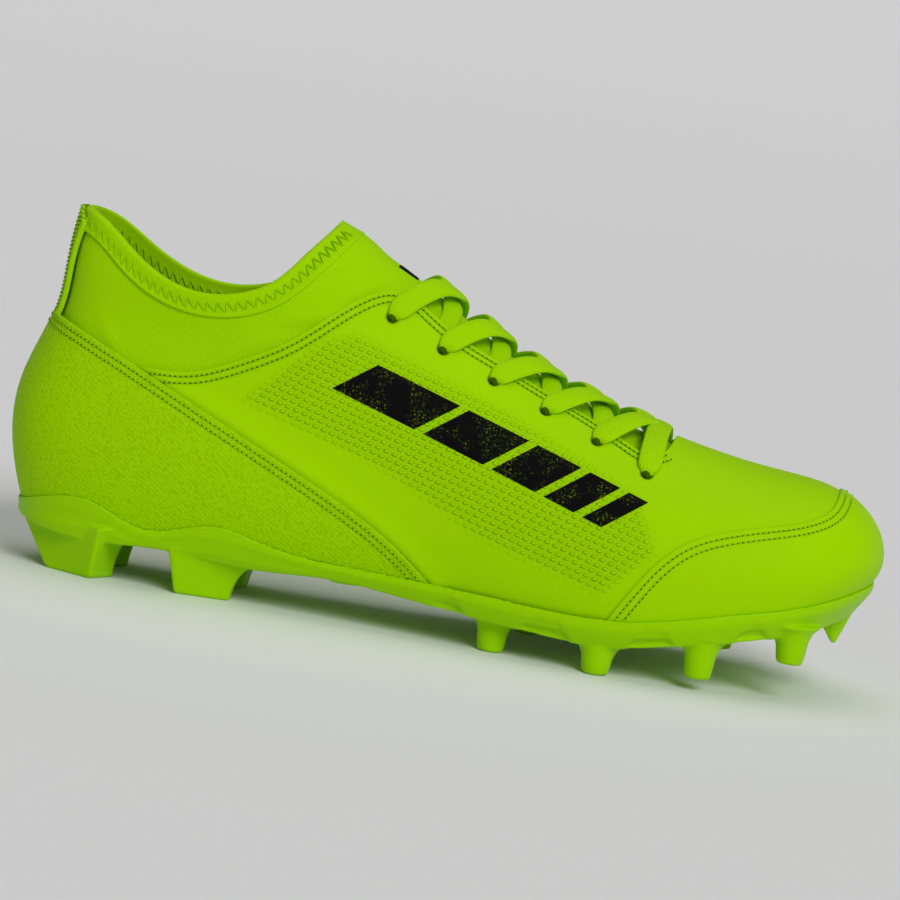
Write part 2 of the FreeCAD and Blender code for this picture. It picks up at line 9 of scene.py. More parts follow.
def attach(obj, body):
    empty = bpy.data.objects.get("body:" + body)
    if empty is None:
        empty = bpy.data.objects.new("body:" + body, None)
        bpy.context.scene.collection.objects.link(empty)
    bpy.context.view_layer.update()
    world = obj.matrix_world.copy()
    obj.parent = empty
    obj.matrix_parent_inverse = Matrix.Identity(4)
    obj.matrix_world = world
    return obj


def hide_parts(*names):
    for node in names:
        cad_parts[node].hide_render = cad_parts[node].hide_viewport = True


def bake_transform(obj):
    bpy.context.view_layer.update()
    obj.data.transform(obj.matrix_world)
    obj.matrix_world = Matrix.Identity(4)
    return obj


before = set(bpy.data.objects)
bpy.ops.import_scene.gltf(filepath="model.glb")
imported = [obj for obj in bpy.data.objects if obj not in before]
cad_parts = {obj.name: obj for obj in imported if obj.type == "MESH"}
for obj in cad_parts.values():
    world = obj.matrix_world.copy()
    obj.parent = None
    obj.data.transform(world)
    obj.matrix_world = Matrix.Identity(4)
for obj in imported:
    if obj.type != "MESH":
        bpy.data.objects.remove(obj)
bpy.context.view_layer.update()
DETAIL = 1.0

# Everything below is laid out in millimetres on the same foot form as the CAD, and shifted as the CAD is.
SHIFT = np.array([-145.9546, -2.346, 0.0])


def upright(x, *pairs):
    """A station whose points all lie at one distance along the boot."""
    return [(x, half, z) for half, z in pairs]


# Points (x, half width, z) up each station, from the sole's edge to the crown.
STATIONS = [
    [(11, 0, 9), (6, 0, 20), (0.0, 0, 40), (0.2, 0, 63), (7.8, 0, 87), (9.8, 0, 113), (16, 0, 148)],
    [(17, 15, 9), (13, 19, 21), (8.5, 24, 40), (9.5, 23.5, 62), (14.7, 18, 87), (15.8, 14.5, 113), (21.5, 0, 148)],
    [(36, 22, 10), (35, 28, 23), (34, 34, 41), (34, 33.5, 62), (35, 26.5, 87), (36, 22, 112), (41, 0, 145)],
    [(62, 23, 12), (62, 30, 23), (62, 36, 42), (62, 36.5, 64), (62, 31, 87), (62, 26.5, 111), (65, 0, 140)],
    [(95, 23, 11), (95, 31, 22), (95, 36, 40), (95, 36, 65), (95, 32.5, 91), (95, 21, 118), (96, 0, 131.5)],
    upright(130, (26, 10), (34, 21), (37.5, 37), (36.5, 62), (30, 87), (16, 109), (0, 115.5)),
    upright(168, (33, 8), (40, 18), (43.5, 33), (41, 53), (33, 72), (18, 88), (0, 93.5)),
    upright(204, (39, 8), (45.5, 17), (48.5, 30), (46, 47), (37, 62), (20, 76), (0, 80.5)),
    [(236, 40, 13), (236, 45.5, 22), (237, 47.5, 34), (237, 45, 47), (236, 37, 59), (235, 20, 70), (234, 0, 74.0)],
    [(260, 33, 19), (263, 39, 29), (265, 41.5, 40), (264, 39.5, 51), (260, 32, 61), (255, 17, 69), (251, 0, 71.5)],
    [(276, 19, 25), (281, 23.5, 35), (285, 25.5, 44), (284, 24, 54), (277, 18.5, 63.5), (268, 9.5, 69), (261, 0, 70.4)],
    [(282, 0, 28), (288.5, 0, 38), (292.0, 0, 46), (290.0, 0, 55), (283, 0, 63.0), (273, 0, 68.3), (264, 0, 70.0)],
]
MEDIAL_SHARE = [1, 1, 1, 0.95, 0.86, 0.8, 0.88, 1.0, 1.02, 1.0, 1.0, 1]
SWAY = [0, 0, 0, 0, 0, 0.5, 1, 1.5, 2.5, 4, 5, 5.5]
TOE, CROWN = 11, 6

LASTING = [(-30, 17), (20, 16.5), (60, 18.5), (110, 18.5), (160, 15.5), (204, 14), (232, 18), (262, 26.5),
           (282, 33), (320, 45)]
FLANGE = [(-30, 19), (5, 21.5), (24, 27.2), (33, 27.2), (50, 21), (60, 22), (75, 26), (92, 23.2),
          (130, 20.4), (172, 19.8), (206, 19.6), (222, 21.6), (245, 27.2), (270, 33.4), (289, 40), (320, 50)]
PLATE = [(-30, 17.6), (6, 17.2), (20, 14.6), (36, 13.8), (55, 15.4), (90, 14.4), (116, 16), (135, 15),
         (165, 12.6), (190, 11.2), (208, 11.2), (232, 15.6), (260, 22), (280, 28.2), (320, 42)]
RIM = [(-20, 121.5), (8, 121.5), (18, 119.5), (32, 110.8), (45, 103.6), (57, 100.9), (70, 102.6),
       (82, 109.2), (90, 119.5), (96, 128), (103, 140), (112, 155)]
HEM = [(-20, 113.5), (8, 113.5), (16, 112), (29, 103.6), (43, 95.8), (57, 92.9), (72, 94.6), (86, 101.6),
       (95, 111.5), (102, 121), (109, 133), (118, 148)]
HEEL_EDGE = [(-20, 87), (9, 84.6), (24, 79.8), (57, 67), (100, 48), (120, 38.6), (137, 28.8), (149, 19.5)]
COLLAR = [(-20, 74), (30, 74), (44, 73.4), (60, 74.8), (76, 81.5), (91, 90.5), (102, 100), (111, 107.2),
          (119, 110.6), (128.5, 109)]
THROAT = [(128.5, 109), (143, 100), (158, 93.2), (176, 85.6), (193, 79.2), (206, 73.8), (213, 72.2),
          (217, 74), (219, 82)]
SOCK_FOOT = [(-20, 65), (30, 65), (44, 64.4), (60, 65.8), (76, 72), (91, 80.5), (105, 91), (119, 98.6),
             (130, 96), (143, 88), (158, 81), (176, 73.4), (193, 67), (206, 62), (216, 60), (227, 59.5)]
CAP_EDGE = [(205, 10), (208, 19), (213.5, 29), (220.5, 39.5), (229.5, 47.8), (241, 52.8), (254, 56.2),
            (265, 59.0), (270.5, 61.3), (273.3, 63.6), (274.6, 66.4), (275.0, 70)]
EYELETS = [(121.7, 102.5), (139.8, 94.8), (157.8, 87.5), (176.2, 80.6), (194.5, 73.8), (212.5, 66.4)]

NEON = (0.36, 0.70, 0.0)


# ================================================================ small helpers
def unit(v):
    return v / np.linalg.norm(v, axis=-1, keepdims=True)


def travelled(points):
    """Distance from the first point to each of them, along the points."""
    return np.concatenate([[0], np.cumsum(np.linalg.norm(np.diff(points, axis=0), axis=1))])


def sampled(at, s, rows):
    """Rows of values known at s, read off at other places."""
    return np.stack([np.interp(at, s, column) for column in rows.T], -1)


def smoothstep(x, a, b):
    k = np.clip((x - a) / (b - a), 0, 1)
    return k * k * (3 - 2 * k)


def tube_faces(rings, around):
    """Quads between rings of points that follow one another."""
    return [(i * around + a, (i + 1) * around + a, (i + 1) * around + (a + 1) % around, i * around + (a + 1) % around)
            for i in range(rings - 1) for a in range(around)]


# ================================================================ the form
def loop_points():
    rows = []
    for k in range(2 * TOE):
        i, side = (k, -1) if k <= TOE else (2 * TOE - k, 1)
        share = [MEDIAL_SHARE[i]] * 2 + [(MEDIAL_SHARE[i] + 1) / 2] + [1] * 4 if side > 0 else [1] * 7
        rows.append([(x, side * half * s + SWAY[i], z) for (x, half, z), s in zip(STATIONS[i], share)])
    return np.array(rows, float)


def with_ghosts(net):
    """Adds a row of poles beyond each border, so that both halves meet smoothly over the crown."""
    n = len(net)
    low = 2 * net[:, 0] - net[:, 1]
    across = net[(n - np.arange(n)) % n, CROWN - 1]
    for k in (0, n // 2):
        across[k] = 2 * net[k, CROWN] - net[k, CROWN - 1]
    return np.concatenate([low[:, None], net, across[:, None]], axis=1)


def basis(f):
    """Weights of four neighbouring poles of a uniform cubic B-spline."""
    return np.stack([(1 - f) ** 3, 3 * f ** 3 - 6 * f ** 2 + 4, -3 * f ** 3 + 3 * f ** 2 + 3 * f + 1, f ** 3], -1) / 6


def surface(ghosted, u, v):
    u, v = np.broadcast_arrays(np.asarray(u, float), np.asarray(v, float))
    iu = np.floor(u).astype(int)
    iv = np.clip(np.floor(v).astype(int), 0, CROWN - 1)
    wu, wv = basis(u - iu), basis(v - iv)
    out = np.zeros(u.shape + (3,))
    for a in range(4):
        for b in range(4):
            out += ghosted[(iu + a - 1) % (2 * TOE), iv + b] * (wu[..., a] * wv[..., b])[..., None]
    return out


def pulled(points):
    """Poles whose surface passes through the given points."""
    net = points.copy()
    k, j = np.meshgrid(np.arange(2 * TOE), np.arange(CROWN + 1), indexing="ij")
    for _ in range(14):
        net = net + points - surface(with_ghosts(net), k, j)
    return with_ghosts(net)


GRID = pulled(loop_points())


def form(side, t, v):
    """Points of the foot form: t runs from heel to toe, v from the sole to the crown."""
    side = np.asarray(side)
    return surface(GRID, np.where(side < 0, t, 2 * TOE - t), v)


def normal(side, t, v):
    side, t, v = np.broadcast_arrays(np.asarray(side), np.asarray(t, float), np.asarray(v, float))
    h = 0.03
    vc = np.clip(v, h, CROWN - h)
    along = form(side, t + h, vc) - form(side, t - h, vc)
    up = form(side, t, vc + h) - form(side, t, vc - h)
    n = np.cross(along, up) * np.where(side < 0, 1, -1)[..., None]
    ridge = (v >= CROWN - 1e-9) | (t <= 1e-9) | (t >= TOE - 1e-9)
    n[ridge, 1] = 0
    top = (v >= CROWN - 1e-9) & (t > 1e-9) & (t < TOE - 1e-9)
    if top.any():
        ridge = form(side, t + h, float(CROWN)) - form(side, t - h, float(CROWN))
        n[top] = np.stack([-ridge[top, 2], np.zeros(top.sum()), ridge[top, 0]], axis=-1)
    return unit(n)


def smooth_line(points):
    """A side-view line z(x) through its points, as a natural cubic spline sampled finely."""
    p = np.array(points, float)
    s = travelled(p)
    n, h = len(p), np.diff(s)
    a = np.eye(n)
    rhs = np.zeros((n, 2))
    for i in range(1, n - 1):
        a[i, i - 1:i + 2] = h[i - 1], 2 * (h[i - 1] + h[i]), h[i]
        rhs[i] = 6 * ((p[i + 1] - p[i]) / h[i] - (p[i] - p[i - 1]) / h[i - 1])
    m = np.linalg.solve(a, rhs)
    q = np.linspace(0, s[-1], 1500)
    i = np.clip(np.searchsorted(s, q, side="right") - 1, 0, n - 2)
    f, g = (q - s[i])[:, None], (s[i + 1] - q)[:, None]
    hh = h[i][:, None]
    xz = (m[i] * g ** 3 + m[i + 1] * f ** 3) / (6 * hh) + (p[i] / hh - m[i] * hh / 6) * g \
        + (p[i + 1] / hh - m[i + 1] * hh / 6) * f
    return np.maximum.accumulate(xz[:, 0]), xz[:, 1]


class Line:
    """A side-view line, or two joined end to end. Past its end it gives the value beyond."""
    def __init__(self, *parts, beyond=None, shift=0.0):
        xs, zs = zip(*[smooth_line(p) for p in parts])
        self.x, self.z = np.concatenate(xs), np.concatenate(zs) + shift
        self.beyond = beyond

    def __call__(self, x):
        z = np.interp(x, self.x, self.z)
        if self.beyond is not None:
            z = np.where(x > self.x[-1], self.beyond, z)
        return z


UPPER_FOOT = Line(LASTING, shift=1.9)
QUARTER_TOP = Line(COLLAR, THROAT, beyond=500)
HEEL_TOP = Line(HEEL_EDGE, beyond=-500)
CAP_TOP = Line(CAP_EDGE, beyond=500)
RIM_TOP = Line(RIM, beyond=500)
HEM_FOOT = Line(HEM, beyond=500)
SOCK_LOW = Line(SOCK_FOOT, beyond=500)
FLANGE_TOP, PLATE_LOW, LASTING_LOW = Line(FLANGE), Line(PLATE), Line(LASTING)

_t = np.linspace(0, TOE, 3000)
_x = form(-1, _t, 2.5)
_arc = travelled(_x)


def t_at(x):
    """The form's t at a distance along the boot."""
    return np.interp(x, _x[:, 0], _t)


def columns(step, dense=()):
    """Column positions an even step apart round the form, closer in the given x ranges."""
    ts = np.interp(np.linspace(0, _arc[-1], int(_arc[-1] / step)), _arc, _t)
    for x0, x1, fine in dense:
        ts = np.concatenate([ts, t_at(np.linspace(x0, x1, int((x1 - x0) / fine)))])
    return np.unique(np.round(ts, 5))


def crossing(side, ts, line):
    """Where each column passes the line, going up, and whether it does."""
    v = np.linspace(0, CROWN, 601)
    p = form(side, ts[:, None], v[None, :])
    f = p[..., 2] - line(p[..., 0])
    up = f > 0
    found = up.any(axis=1)
    i = np.clip(np.argmax(up, axis=1), 1, None)
    r = np.arange(len(ts))
    fa, fb = f[r, i - 1], f[r, i]
    share = np.where(np.abs(fb - fa) > 1e-9, np.clip(-fa / np.where(fb == fa, 1, fb - fa), 0, 1), 0)
    at = v[i - 1] + (v[i] - v[i - 1]) * share
    at = np.where(found, at, CROWN)
    return np.where(up[:, 0], 0.0, at), found


def column_lengths(side, ts):
    v = np.linspace(0, CROWN, 301)
    p = form(side, ts[:, None], v[None, :])
    d = np.linalg.norm(np.diff(p, axis=1), axis=2)
    return v, np.concatenate([np.zeros((len(ts), 1)), np.cumsum(d, axis=1)], axis=1)


def closest(side, p, t, v, rounds=6):
    """The (t, v) of the form's points nearest to p, from a first guess."""
    for _ in range(rounds):
        q = form(side, t, v)
        dt = (form(side, t + 0.01, v) - q) / 0.01
        dv = (form(side, t, np.maximum(v - 0.01, 0)) - q) / -0.01
        r = p - q
        a, b, c = (dt * dt).sum(-1), (dt * dv).sum(-1), (dv * dv).sum(-1)
        e, f = (dt * r).sum(-1), (dv * r).sum(-1)
        det = np.maximum(a * c - b * b, 1e-9)
        t = np.clip(t + (e * c - b * f) / det, 0, TOE)
        v = np.clip(v + (a * f - b * e) / det, 0, CROWN)
    return t, v


def near(points, queries):
    """Distance of each query to the nearest of the points."""
    tree = KDTree(len(points))
    for i, p in enumerate(points):
        tree.insert(p, i)
    tree.balance()
    return np.array([tree.find(q)[2] for q in queries])


# ================================================================ meshes
def make_mesh(name, verts, faces, uv=None, side_uv=None, attributes=None, weld=0.004):
    """A mesh from millimetre points. uv and side_uv are one pair for each vertex."""
    data = bpy.data.meshes.new(name)
    data.from_pydata(((np.asarray(verts) + SHIFT) / 1000).tolist(), [], faces)
    for label, values in (attributes or {}).items():
        layer = data.attributes.new(label, "FLOAT", "POINT")
        layer.data.foreach_set("value", np.asarray(values, np.float32))
    loops = np.empty(len(data.loops), int)
    data.loops.foreach_get("vertex_index", loops)
    for label, values in (("UVMap", uv), ("Side", side_uv)):
        if values is not None:
            layer = data.uv_layers.new(name=label)
            layer.data.foreach_set("uv", np.asarray(values, np.float32)[loops].ravel())
    bm = bmesh.new()
    bm.from_mesh(data)
    if weld:
        bmesh.ops.remove_doubles(bm, verts=bm.verts, dist=weld / 1000)
    bmesh.ops.recalc_face_normals(bm, faces=bm.faces)
    for f in bm.faces:
        f.smooth = True
    bm.to_mesh(data)
    bm.free()
    obj = bpy.data.objects.new(name, data)
    bpy.context.scene.collection.objects.link(obj)
    return obj


def rounded(offset_low, offset_high, d, r):
    """The outer offset near an edge that is rounded over with radius r."""
    r = min(r, offset_high - offset_low)
    k = np.clip((r - d) / r, 0, 1)
    return offset_high - r + r * np.sqrt(np.maximum(1 - k * k, 0))


EDGE_ROWS = np.array([0.08, 0.2, 0.36, 0.6])
FAR = 50.0


def panel(name, low, high, offsets, step=0.8, row_step=0.8, t_range=(0, TOE), dense=(), r_top=0.45, r_low=0.0,
          relief=None, base=None, inner_rows=10):
    """A trimmed piece of the upper: its rounded outer skin, edge and inner skin.

    relief(points, side, distance to the edge) adds to the outer offset; base(points) adds to both skins.
    """
    verts, faces, uvs, side_uvs = [], [], [], []
    edge_gaps = []
    count = 0
    ts_all = columns(step / DETAIL, dense)
    ts_all = ts_all[(ts_all >= t_range[0] - 1e-9) & (ts_all <= t_range[1] + 1e-9)]
    ts_all = np.unique(np.concatenate([[t_range[0]], ts_all, [t_range[1]]]))
    for side in (-1, 1):
        v_high, open_top = crossing(side, ts_all, high)
        v_low, _ = crossing(side, ts_all, low)
        used = v_high > v_low + 1e-4
        # keep one column past each end, so that a pointed end closes
        wide = used.copy()
        wide[:-1] |= used[1:]
        wide[1:] |= used[:-1]
        ts, v_high, v_low, open_top = ts_all[wide], v_high[wide], v_low[wide], open_top[wide]
        v_high = np.maximum(v_high, v_low)
        vv, lengths = column_lengths(side, ts)
        l_low = np.array([np.interp(a, vv, l) for a, l in zip(v_low, lengths)])
        l_high = np.array([np.interp(a, vv, l) for a, l in zip(v_high, lengths)])
        rows = max(8, int((l_high - l_low).max() / (row_step / DETAIL)))
        s = np.linspace(0, 1, rows)
        height = np.maximum(l_high - l_low, 1e-3)[:, None]
        body = s[None, :] * np.maximum(1 - 1.0 / height, 0.5)
        fine = 1 - np.minimum(EDGE_ROWS[::-1] / height, 0.4 * EDGE_ROWS[::-1] / 0.6)
        share = np.concatenate([body, fine, np.ones((len(ts), 1))], axis=1)
        if r_low:
            fine_low = np.minimum(EDGE_ROWS / height, 0.3 * EDGE_ROWS / 0.6)
            above = fine_low[:, -1:] + share[:, 1:] * (1 - fine_low[:, -1:])
            share = np.concatenate([np.zeros((len(ts), 1)), fine_low, above], axis=1)
        arc = l_low[:, None] + share * (l_high - l_low)[:, None]
        v = np.array([np.interp(a, l, vv) for a, l in zip(arc, lengths)])
        v[~open_top, -1] = CROWN
        t = np.repeat(ts[:, None], v.shape[1], axis=1)
        p, n = form(side, t, v), normal(side, t, v)
        lift = base(p) if base else np.zeros(v.shape)
        top = p[open_top, -1]
        fine_edge = np.concatenate([top[:-1] + (top[1:] - top[:-1]) * f for f in (0, 0.25, 0.5, 0.75)])
        d = near(fine_edge, p.reshape(-1, 3)).reshape(v.shape)
        outer = rounded(*offsets, d, r_top)
        if r_low:
            outer = np.minimum(outer, rounded(*offsets, arc - l_low[:, None], r_low))
        if relief:
            outer = outer + relief(p, side, d)
        q = p + n * (outer + lift)[..., None]
        rows_out, cols = v.shape[1], v.shape[0]
        share_in = np.linspace(1, 0, inner_rows)
        arc_in = l_low[:, None] + share_in[None, :] * (l_high - l_low)[:, None]
        v_in = np.array([np.interp(a, l, vv) for a, l in zip(arc_in, lengths)])
        v_in[~open_top, 0] = CROWN
        t_in = np.repeat(ts[:, None], inner_rows, axis=1)
        p_in = form(side, t_in, v_in)
        lift_in = base(p_in) if base else np.zeros(v_in.shape)
        q_in = p_in + normal(side, t_in, v_in) * (offsets[0] + lift_in)[..., None]
        total = rows_out + inner_rows
        u = np.repeat(np.interp(ts, _t, _arc)[:, None], total, 1)
        verts.append(np.concatenate([q, q_in], axis=1).reshape(-1, 3))
        uvs.append(np.stack([u, np.concatenate([arc, arc_in], axis=1)], -1).reshape(-1, 2))
        side_uvs.append(np.concatenate([p, p_in], axis=1)[..., (0, 2)].reshape(-1, 2))
        edge_gaps.append(np.concatenate([d, np.full(v_in.shape, FAR)], axis=1).ravel())
        flip = side > 0
        for i in range(cols - 1):
            a, b = count + i * total, count + (i + 1) * total
            closed_top = open_top[i] or open_top[i + 1]
            for j in range(total):
                if j == rows_out - 1 and not closed_top:
                    continue
                k = (j + 1) % total
                quad = (a + j, b + j, b + k, a + k)
                faces.append(quad[::-1] if flip else quad)
        for i, end in ((0, ts[0] > 1e-6), (cols - 1, ts[-1] < TOE - 1e-6)):
            if end:
                a = count + i * total
                inner = rows_out + np.round((1 - share[i]) * (inner_rows - 1)).astype(int)
                for j in range(rows_out - 1):
                    quad = (a + j, a + j + 1, a + int(inner[j + 1]), a + int(inner[j]))
                    faces.append(tuple(dict.fromkeys(quad)))
        count += len(verts[-1])
    return make_mesh(name, np.concatenate(verts), faces, np.concatenate(uvs), np.concatenate(side_uvs),
                     {"edge": np.concatenate(edge_gaps)})


def solve(side, a, b, axes=(0, 2), v_start=4.6):
    """The (t, v) of the form's points with the two given coordinates."""
    a, b = np.asarray(a, float), np.asarray(b, float)
    t = t_at(a) if axes[0] == 0 else np.full(a.shape, 0.3)
    v = np.full(a.shape, float(v_start))
    for _ in range(25):
        q = form(side, t, v)
        dt = (form(side, t + 0.01, v) - q) / 0.01
        dv = (form(side, t, v - 0.01) - q) / -0.01
        ra, rb = a - q[..., axes[0]], b - q[..., axes[1]]
        m = dt[..., axes[0]] * dv[..., axes[1]] - dv[..., axes[0]] * dt[..., axes[1]]
        m = np.where(np.abs(m) < 1e-6, 1e-6, m)
        t = np.clip(t + np.clip((ra * dv[..., axes[1]] - rb * dv[..., axes[0]]) / m, -0.8, 0.8), 0.0, TOE)
        v = np.clip(v + np.clip((rb * dt[..., axes[0]] - ra * dt[..., axes[1]]) / m, -0.8, 0.8), 0.2, CROWN)
    return t, v


def resample(step, *rows):
    """Rows that go with a path, read off at even steps along it. The path is the first of them."""
    s = travelled(rows[0])
    at = np.arange(0, s[-1], step)
    return [sampled(at, s, r) for r in rows]


PATH_STEP = 0.2


def edge_path(points, side, inset, offset, x_range=(-50, 400)):
    """Points a set distance below a side-view line, an even step apart, with the normals there."""
    parts = points if isinstance(points[0][0], (list, tuple)) else [points]
    lines = [np.stack(smooth_line(part), -1)[::2] for part in parts]
    xz = np.concatenate(lines)
    xz = xz[(xz[:, 0] >= x_range[0]) & (xz[:, 0] <= x_range[1])]
    t, v = solve(side, xz[:, 0], xz[:, 1], v_start=3.5)
    p = form(side, t, v)
    ok = (np.hypot(p[:, 0] - xz[:, 0], p[:, 2] - xz[:, 1]) < 0.1) & (v < CROWN - 0.02)
    t, v, p = t[ok], v[ok], p[ok]
    n = normal(side, t, v)
    into = np.cross(unit(np.gradient(p, axis=0)), n)
    if np.median(into[:, 2]) > 0:
        into = -into
    t2, v2 = closest(side, p + into * inset, t, v)
    q, n2 = form(side, t2, v2), normal(side, t2, v2)
    q = q + n2 * offset
    keep = q[:, 2] > FLANGE_TOP(q[:, 0]) - 1.0
    q, n2 = resample(PATH_STEP, q[keep], n2[keep])
    return q, unit(n2)


def threads(name, paths, pitch=1.75, length=1.2, radius=0.26, sink=0.06, start=0.5, around=6, rings=7):
    """A row of separate stitches along each path of closely spaced points."""
    verts, faces = [], []
    shape = np.linspace(-1, 1, rings)
    quads = tube_faces(rings, around)
    for q, n in paths:
        s = travelled(q)
        run = length or s[-1] * 0.999
        for begin in np.arange(start, s[-1] - run, pitch):
            at = begin + (shape + 1) / 2 * run
            c, up = sampled(at, s, q), unit(sampled(at, s, n))
            wide = np.cross(unit(np.gradient(c, axis=0)), up)
            c = c + up * (radius * 0.8 - 0.35 * shape[:, None] ** 4 - sink)
            r = radius * np.sqrt(np.clip(1 - 0.75 * shape ** 6, 0.05, 1))
            base = len(verts) * rings * around
            turns = 2 * math.pi * np.arange(around) / around
            ring = [c + (wide * math.cos(w) + up * math.sin(w)) * r[:, None] for w in turns]
            verts.append(np.stack(ring, 1).reshape(-1, 3))
            faces += [tuple(base + k for k in face) for face in quads]
    return make_mesh(name, np.concatenate(verts), faces, weld=0)


def whole_stitches(name, paths, **kw):
    """One stitch over the whole of each path."""
    return threads(name, paths, pitch=50, length=None, start=0.0, **kw)


def zigzag(low, high, pitch):
    """Straight stitches running back and forth between two paths."""
    paths = []
    share = np.linspace(0, 1, 12)[:, None]
    last = min(len(low[0]), len(high[0]))
    for i in range(int(last * PATH_STEP / pitch)):
        a, b, c = (int((i + f) * pitch / PATH_STEP) for f in (0, 0.5, 1))
        if c >= last:
            break
        for (start, k), (end, m) in (((low, a), (high, b)), ((high, b), (low, c))):
            paths.append(tuple(x[k] + (y[m] - x[k]) * share for x, y in zip(start, end)))
    return paths


# ================================================================ materials
def socket(node, name, value):
    node.inputs[name].default_value = value


class Shader:
    """A small helper for node trees."""
    def __init__(self, name, base, roughness=0.5, sheen=0.0, specular=0.5, tint=(0.75, 0.95, 0.35)):
        self.material = bpy.data.materials.new(name)
        self.material.use_nodes = True
        self.tree = self.material.node_tree
        self.bsdf = self.tree.nodes["Principled BSDF"]
        socket(self.bsdf, "Base Color", (*base, 1))
        socket(self.bsdf, "Roughness", roughness)
        socket(self.bsdf, "Sheen Weight", sheen)
        socket(self.bsdf, "Sheen Roughness", 0.4)
        socket(self.bsdf, "Sheen Tint", (0.6, 1.0, 0.1, 1))
        socket(self.bsdf, "Specular IOR Level", specular)
        socket(self.bsdf, "Specular Tint", (*tint, 1))
        self.height = None

    def node(self, kind, **values):
        n = self.tree.nodes.new(kind)
        for key, value in values.items():
            if key in n.inputs:
                n.inputs[key].default_value = value
            else:
                setattr(n, key, value)
        return n

    def link(self, a, b):
        self.tree.links.new(a, b)

    def uv(self, layer="UVMap"):
        return self.node("ShaderNodeUVMap", uv_map=layer).outputs["UV"]

    def attribute(self, name):
        return self.node("ShaderNodeAttribute", attribute_name=name).outputs["Fac"]

    def math(self, op, *values):
        n = self.node("ShaderNodeMath", operation=op)
        for i, x in enumerate(values):
            if isinstance(x, (int, float)):
                n.inputs[i].default_value = x
            else:
                self.link(x, n.inputs[i])
        return n.outputs[0]

    def times(self, a, b):
        return self.math("MULTIPLY", a, b)

    def plus(self, a, b):
        return self.math("ADD", a, b)

    def wave(self, x, pitch, kind="SINE"):
        """A wave that repeats every pitch millimetres."""
        return self.math(kind, self.times(x, 2 * math.pi / pitch))

    def ramp(self, x, lo, hi, to_lo=0.0, to_hi=1.0):
        n = self.node("ShaderNodeMapRange", clamp=True)
        self.link(x, n.inputs["Value"])
        for key, value in (("From Min", lo), ("From Max", hi), ("To Min", to_lo), ("To Max", to_hi)):
            n.inputs[key].default_value = value
        return n.outputs["Result"]

    def split(self, vector):
        n = self.node("ShaderNodeSeparateXYZ")
        self.link(vector, n.inputs[0])
        return n.outputs

    def noise(self, scale, detail, rough=0.55):
        n = self.node("ShaderNodeTexNoise", Scale=scale, Detail=detail, Roughness=rough)
        self.link(self.node("ShaderNodeTexCoord").outputs["Object"], n.inputs["Vector"])
        return n.outputs["Fac"]

    def add_height(self, x, amount):
        """Adds a height in millimetres to the bump."""
        term = self.times(x, amount)
        self.height = term if self.height is None else self.plus(self.height, term)

    def shade(self, factor, dark):
        """Mixes the base colour towards a darker one by a factor."""
        n = self.node("ShaderNodeMix", data_type="RGBA")
        self.link(factor, n.inputs["Factor"])
        colour = self.bsdf.inputs["Base Color"]
        if colour.is_linked:
            self.link(colour.links[0].from_socket, n.inputs["A"])
        else:
            n.inputs["A"].default_value = colour.default_value
        n.inputs["B"].default_value = (*dark, 1)
        self.link(n.outputs["Result"], colour)

    def finish(self):
        bump = self.node("ShaderNodeBump", Strength=1.0, Distance=0.001)
        self.link(self.height, bump.inputs["Height"])
        self.link(bump.outputs["Normal"], self.bsdf.inputs["Normal"])
        return self.material


def weave(shader, uv, pitch_u, pitch_v, amount):
    """A plain weave: threads cross over and under at the given pitches, in millimetres."""
    x, y, _ = shader.split(uv)
    shader.add_height(shader.times(shader.wave(x, 2 * pitch_u), shader.wave(y, 2 * pitch_v)), amount)


DOT_SLOPE, DOT_ROW, DOT_PITCH = math.radians(14.5), 2.2, 2.95


def leather_material(name, dots=False):
    """Coated synthetic with a fine grain, and with rows of embossed dots where they are asked for."""
    sh = Shader(name, NEON, roughness=0.52, specular=0.05)
    sh.add_height(sh.noise(900, 4), 0.06)
    sh.add_height(sh.noise(60, 2), 0.12)
    sh.add_height(sh.noise(320, 3), 0.05)
    sh.shade(sh.ramp(sh.noise(14, 3), 0.35, 0.75, 0.0, 0.2), (0.27, 0.58, 0.0))
    if dots:
        x, z, _ = sh.split(sh.uv("Side"))
        c, s = math.cos(DOT_SLOPE), math.sin(DOT_SLOPE)
        along = sh.math("SUBTRACT", sh.times(x, c), sh.times(z, s))
        across = sh.plus(sh.times(x, s), sh.times(z, c))
        run = sh.plus(sh.times(along, 2 * math.pi / DOT_PITCH), sh.times(across, -0.9))
        bump = sh.times(sh.ramp(sh.wave(across, DOT_ROW, "COSINE"), -0.35, 0.75),
                        sh.ramp(sh.math("COSINE", run), -0.7, 0.35))
        mask = sh.attribute("dots")
        sh.add_height(sh.times(bump, mask), 0.5)
        # painted shade: the hollows between the embossed dots are darkened
        low = sh.times(sh.math("SUBTRACT", 1.0, bump), mask)
        sh.shade(sh.times(low, 0.22), (0.20, 0.46, 0.0))
        # painted shade: near black inside each eyelet hole, where the eyelet attribute is high
        sh.shade(sh.ramp(sh.attribute("eyelet"), 0.1, 0.9, 0.0, 0.95), (0.01, 0.025, 0.0))
    # painted shade: darker within half a millimetre of the panel's top edge, where it rolls over onto the part beneath
    sh.shade(sh.ramp(sh.attribute("edge"), 0.0, 0.5, 0.35, 0.0), (0.22, 0.48, 0.0))
    return sh.finish()


def woven_material(name):
    sh = Shader(name, (0.345, 0.675, 0.0), roughness=0.65, sheen=0.06, specular=0.06)
    weave(sh, sh.uv(), 1.15, 0.8, 0.06)
    pebble = sh.noise(900, 2, rough=0.6)
    # painted shade: the hollows between the pebbles are darkened
    sh.shade(sh.ramp(pebble, 0.5, 0.36, 0.0, 0.3), (0.17, 0.40, 0.0))
    sh.add_height(pebble, 0.38)
    sh.add_height(sh.noise(380, 3), 0.12)
    return sh.finish()


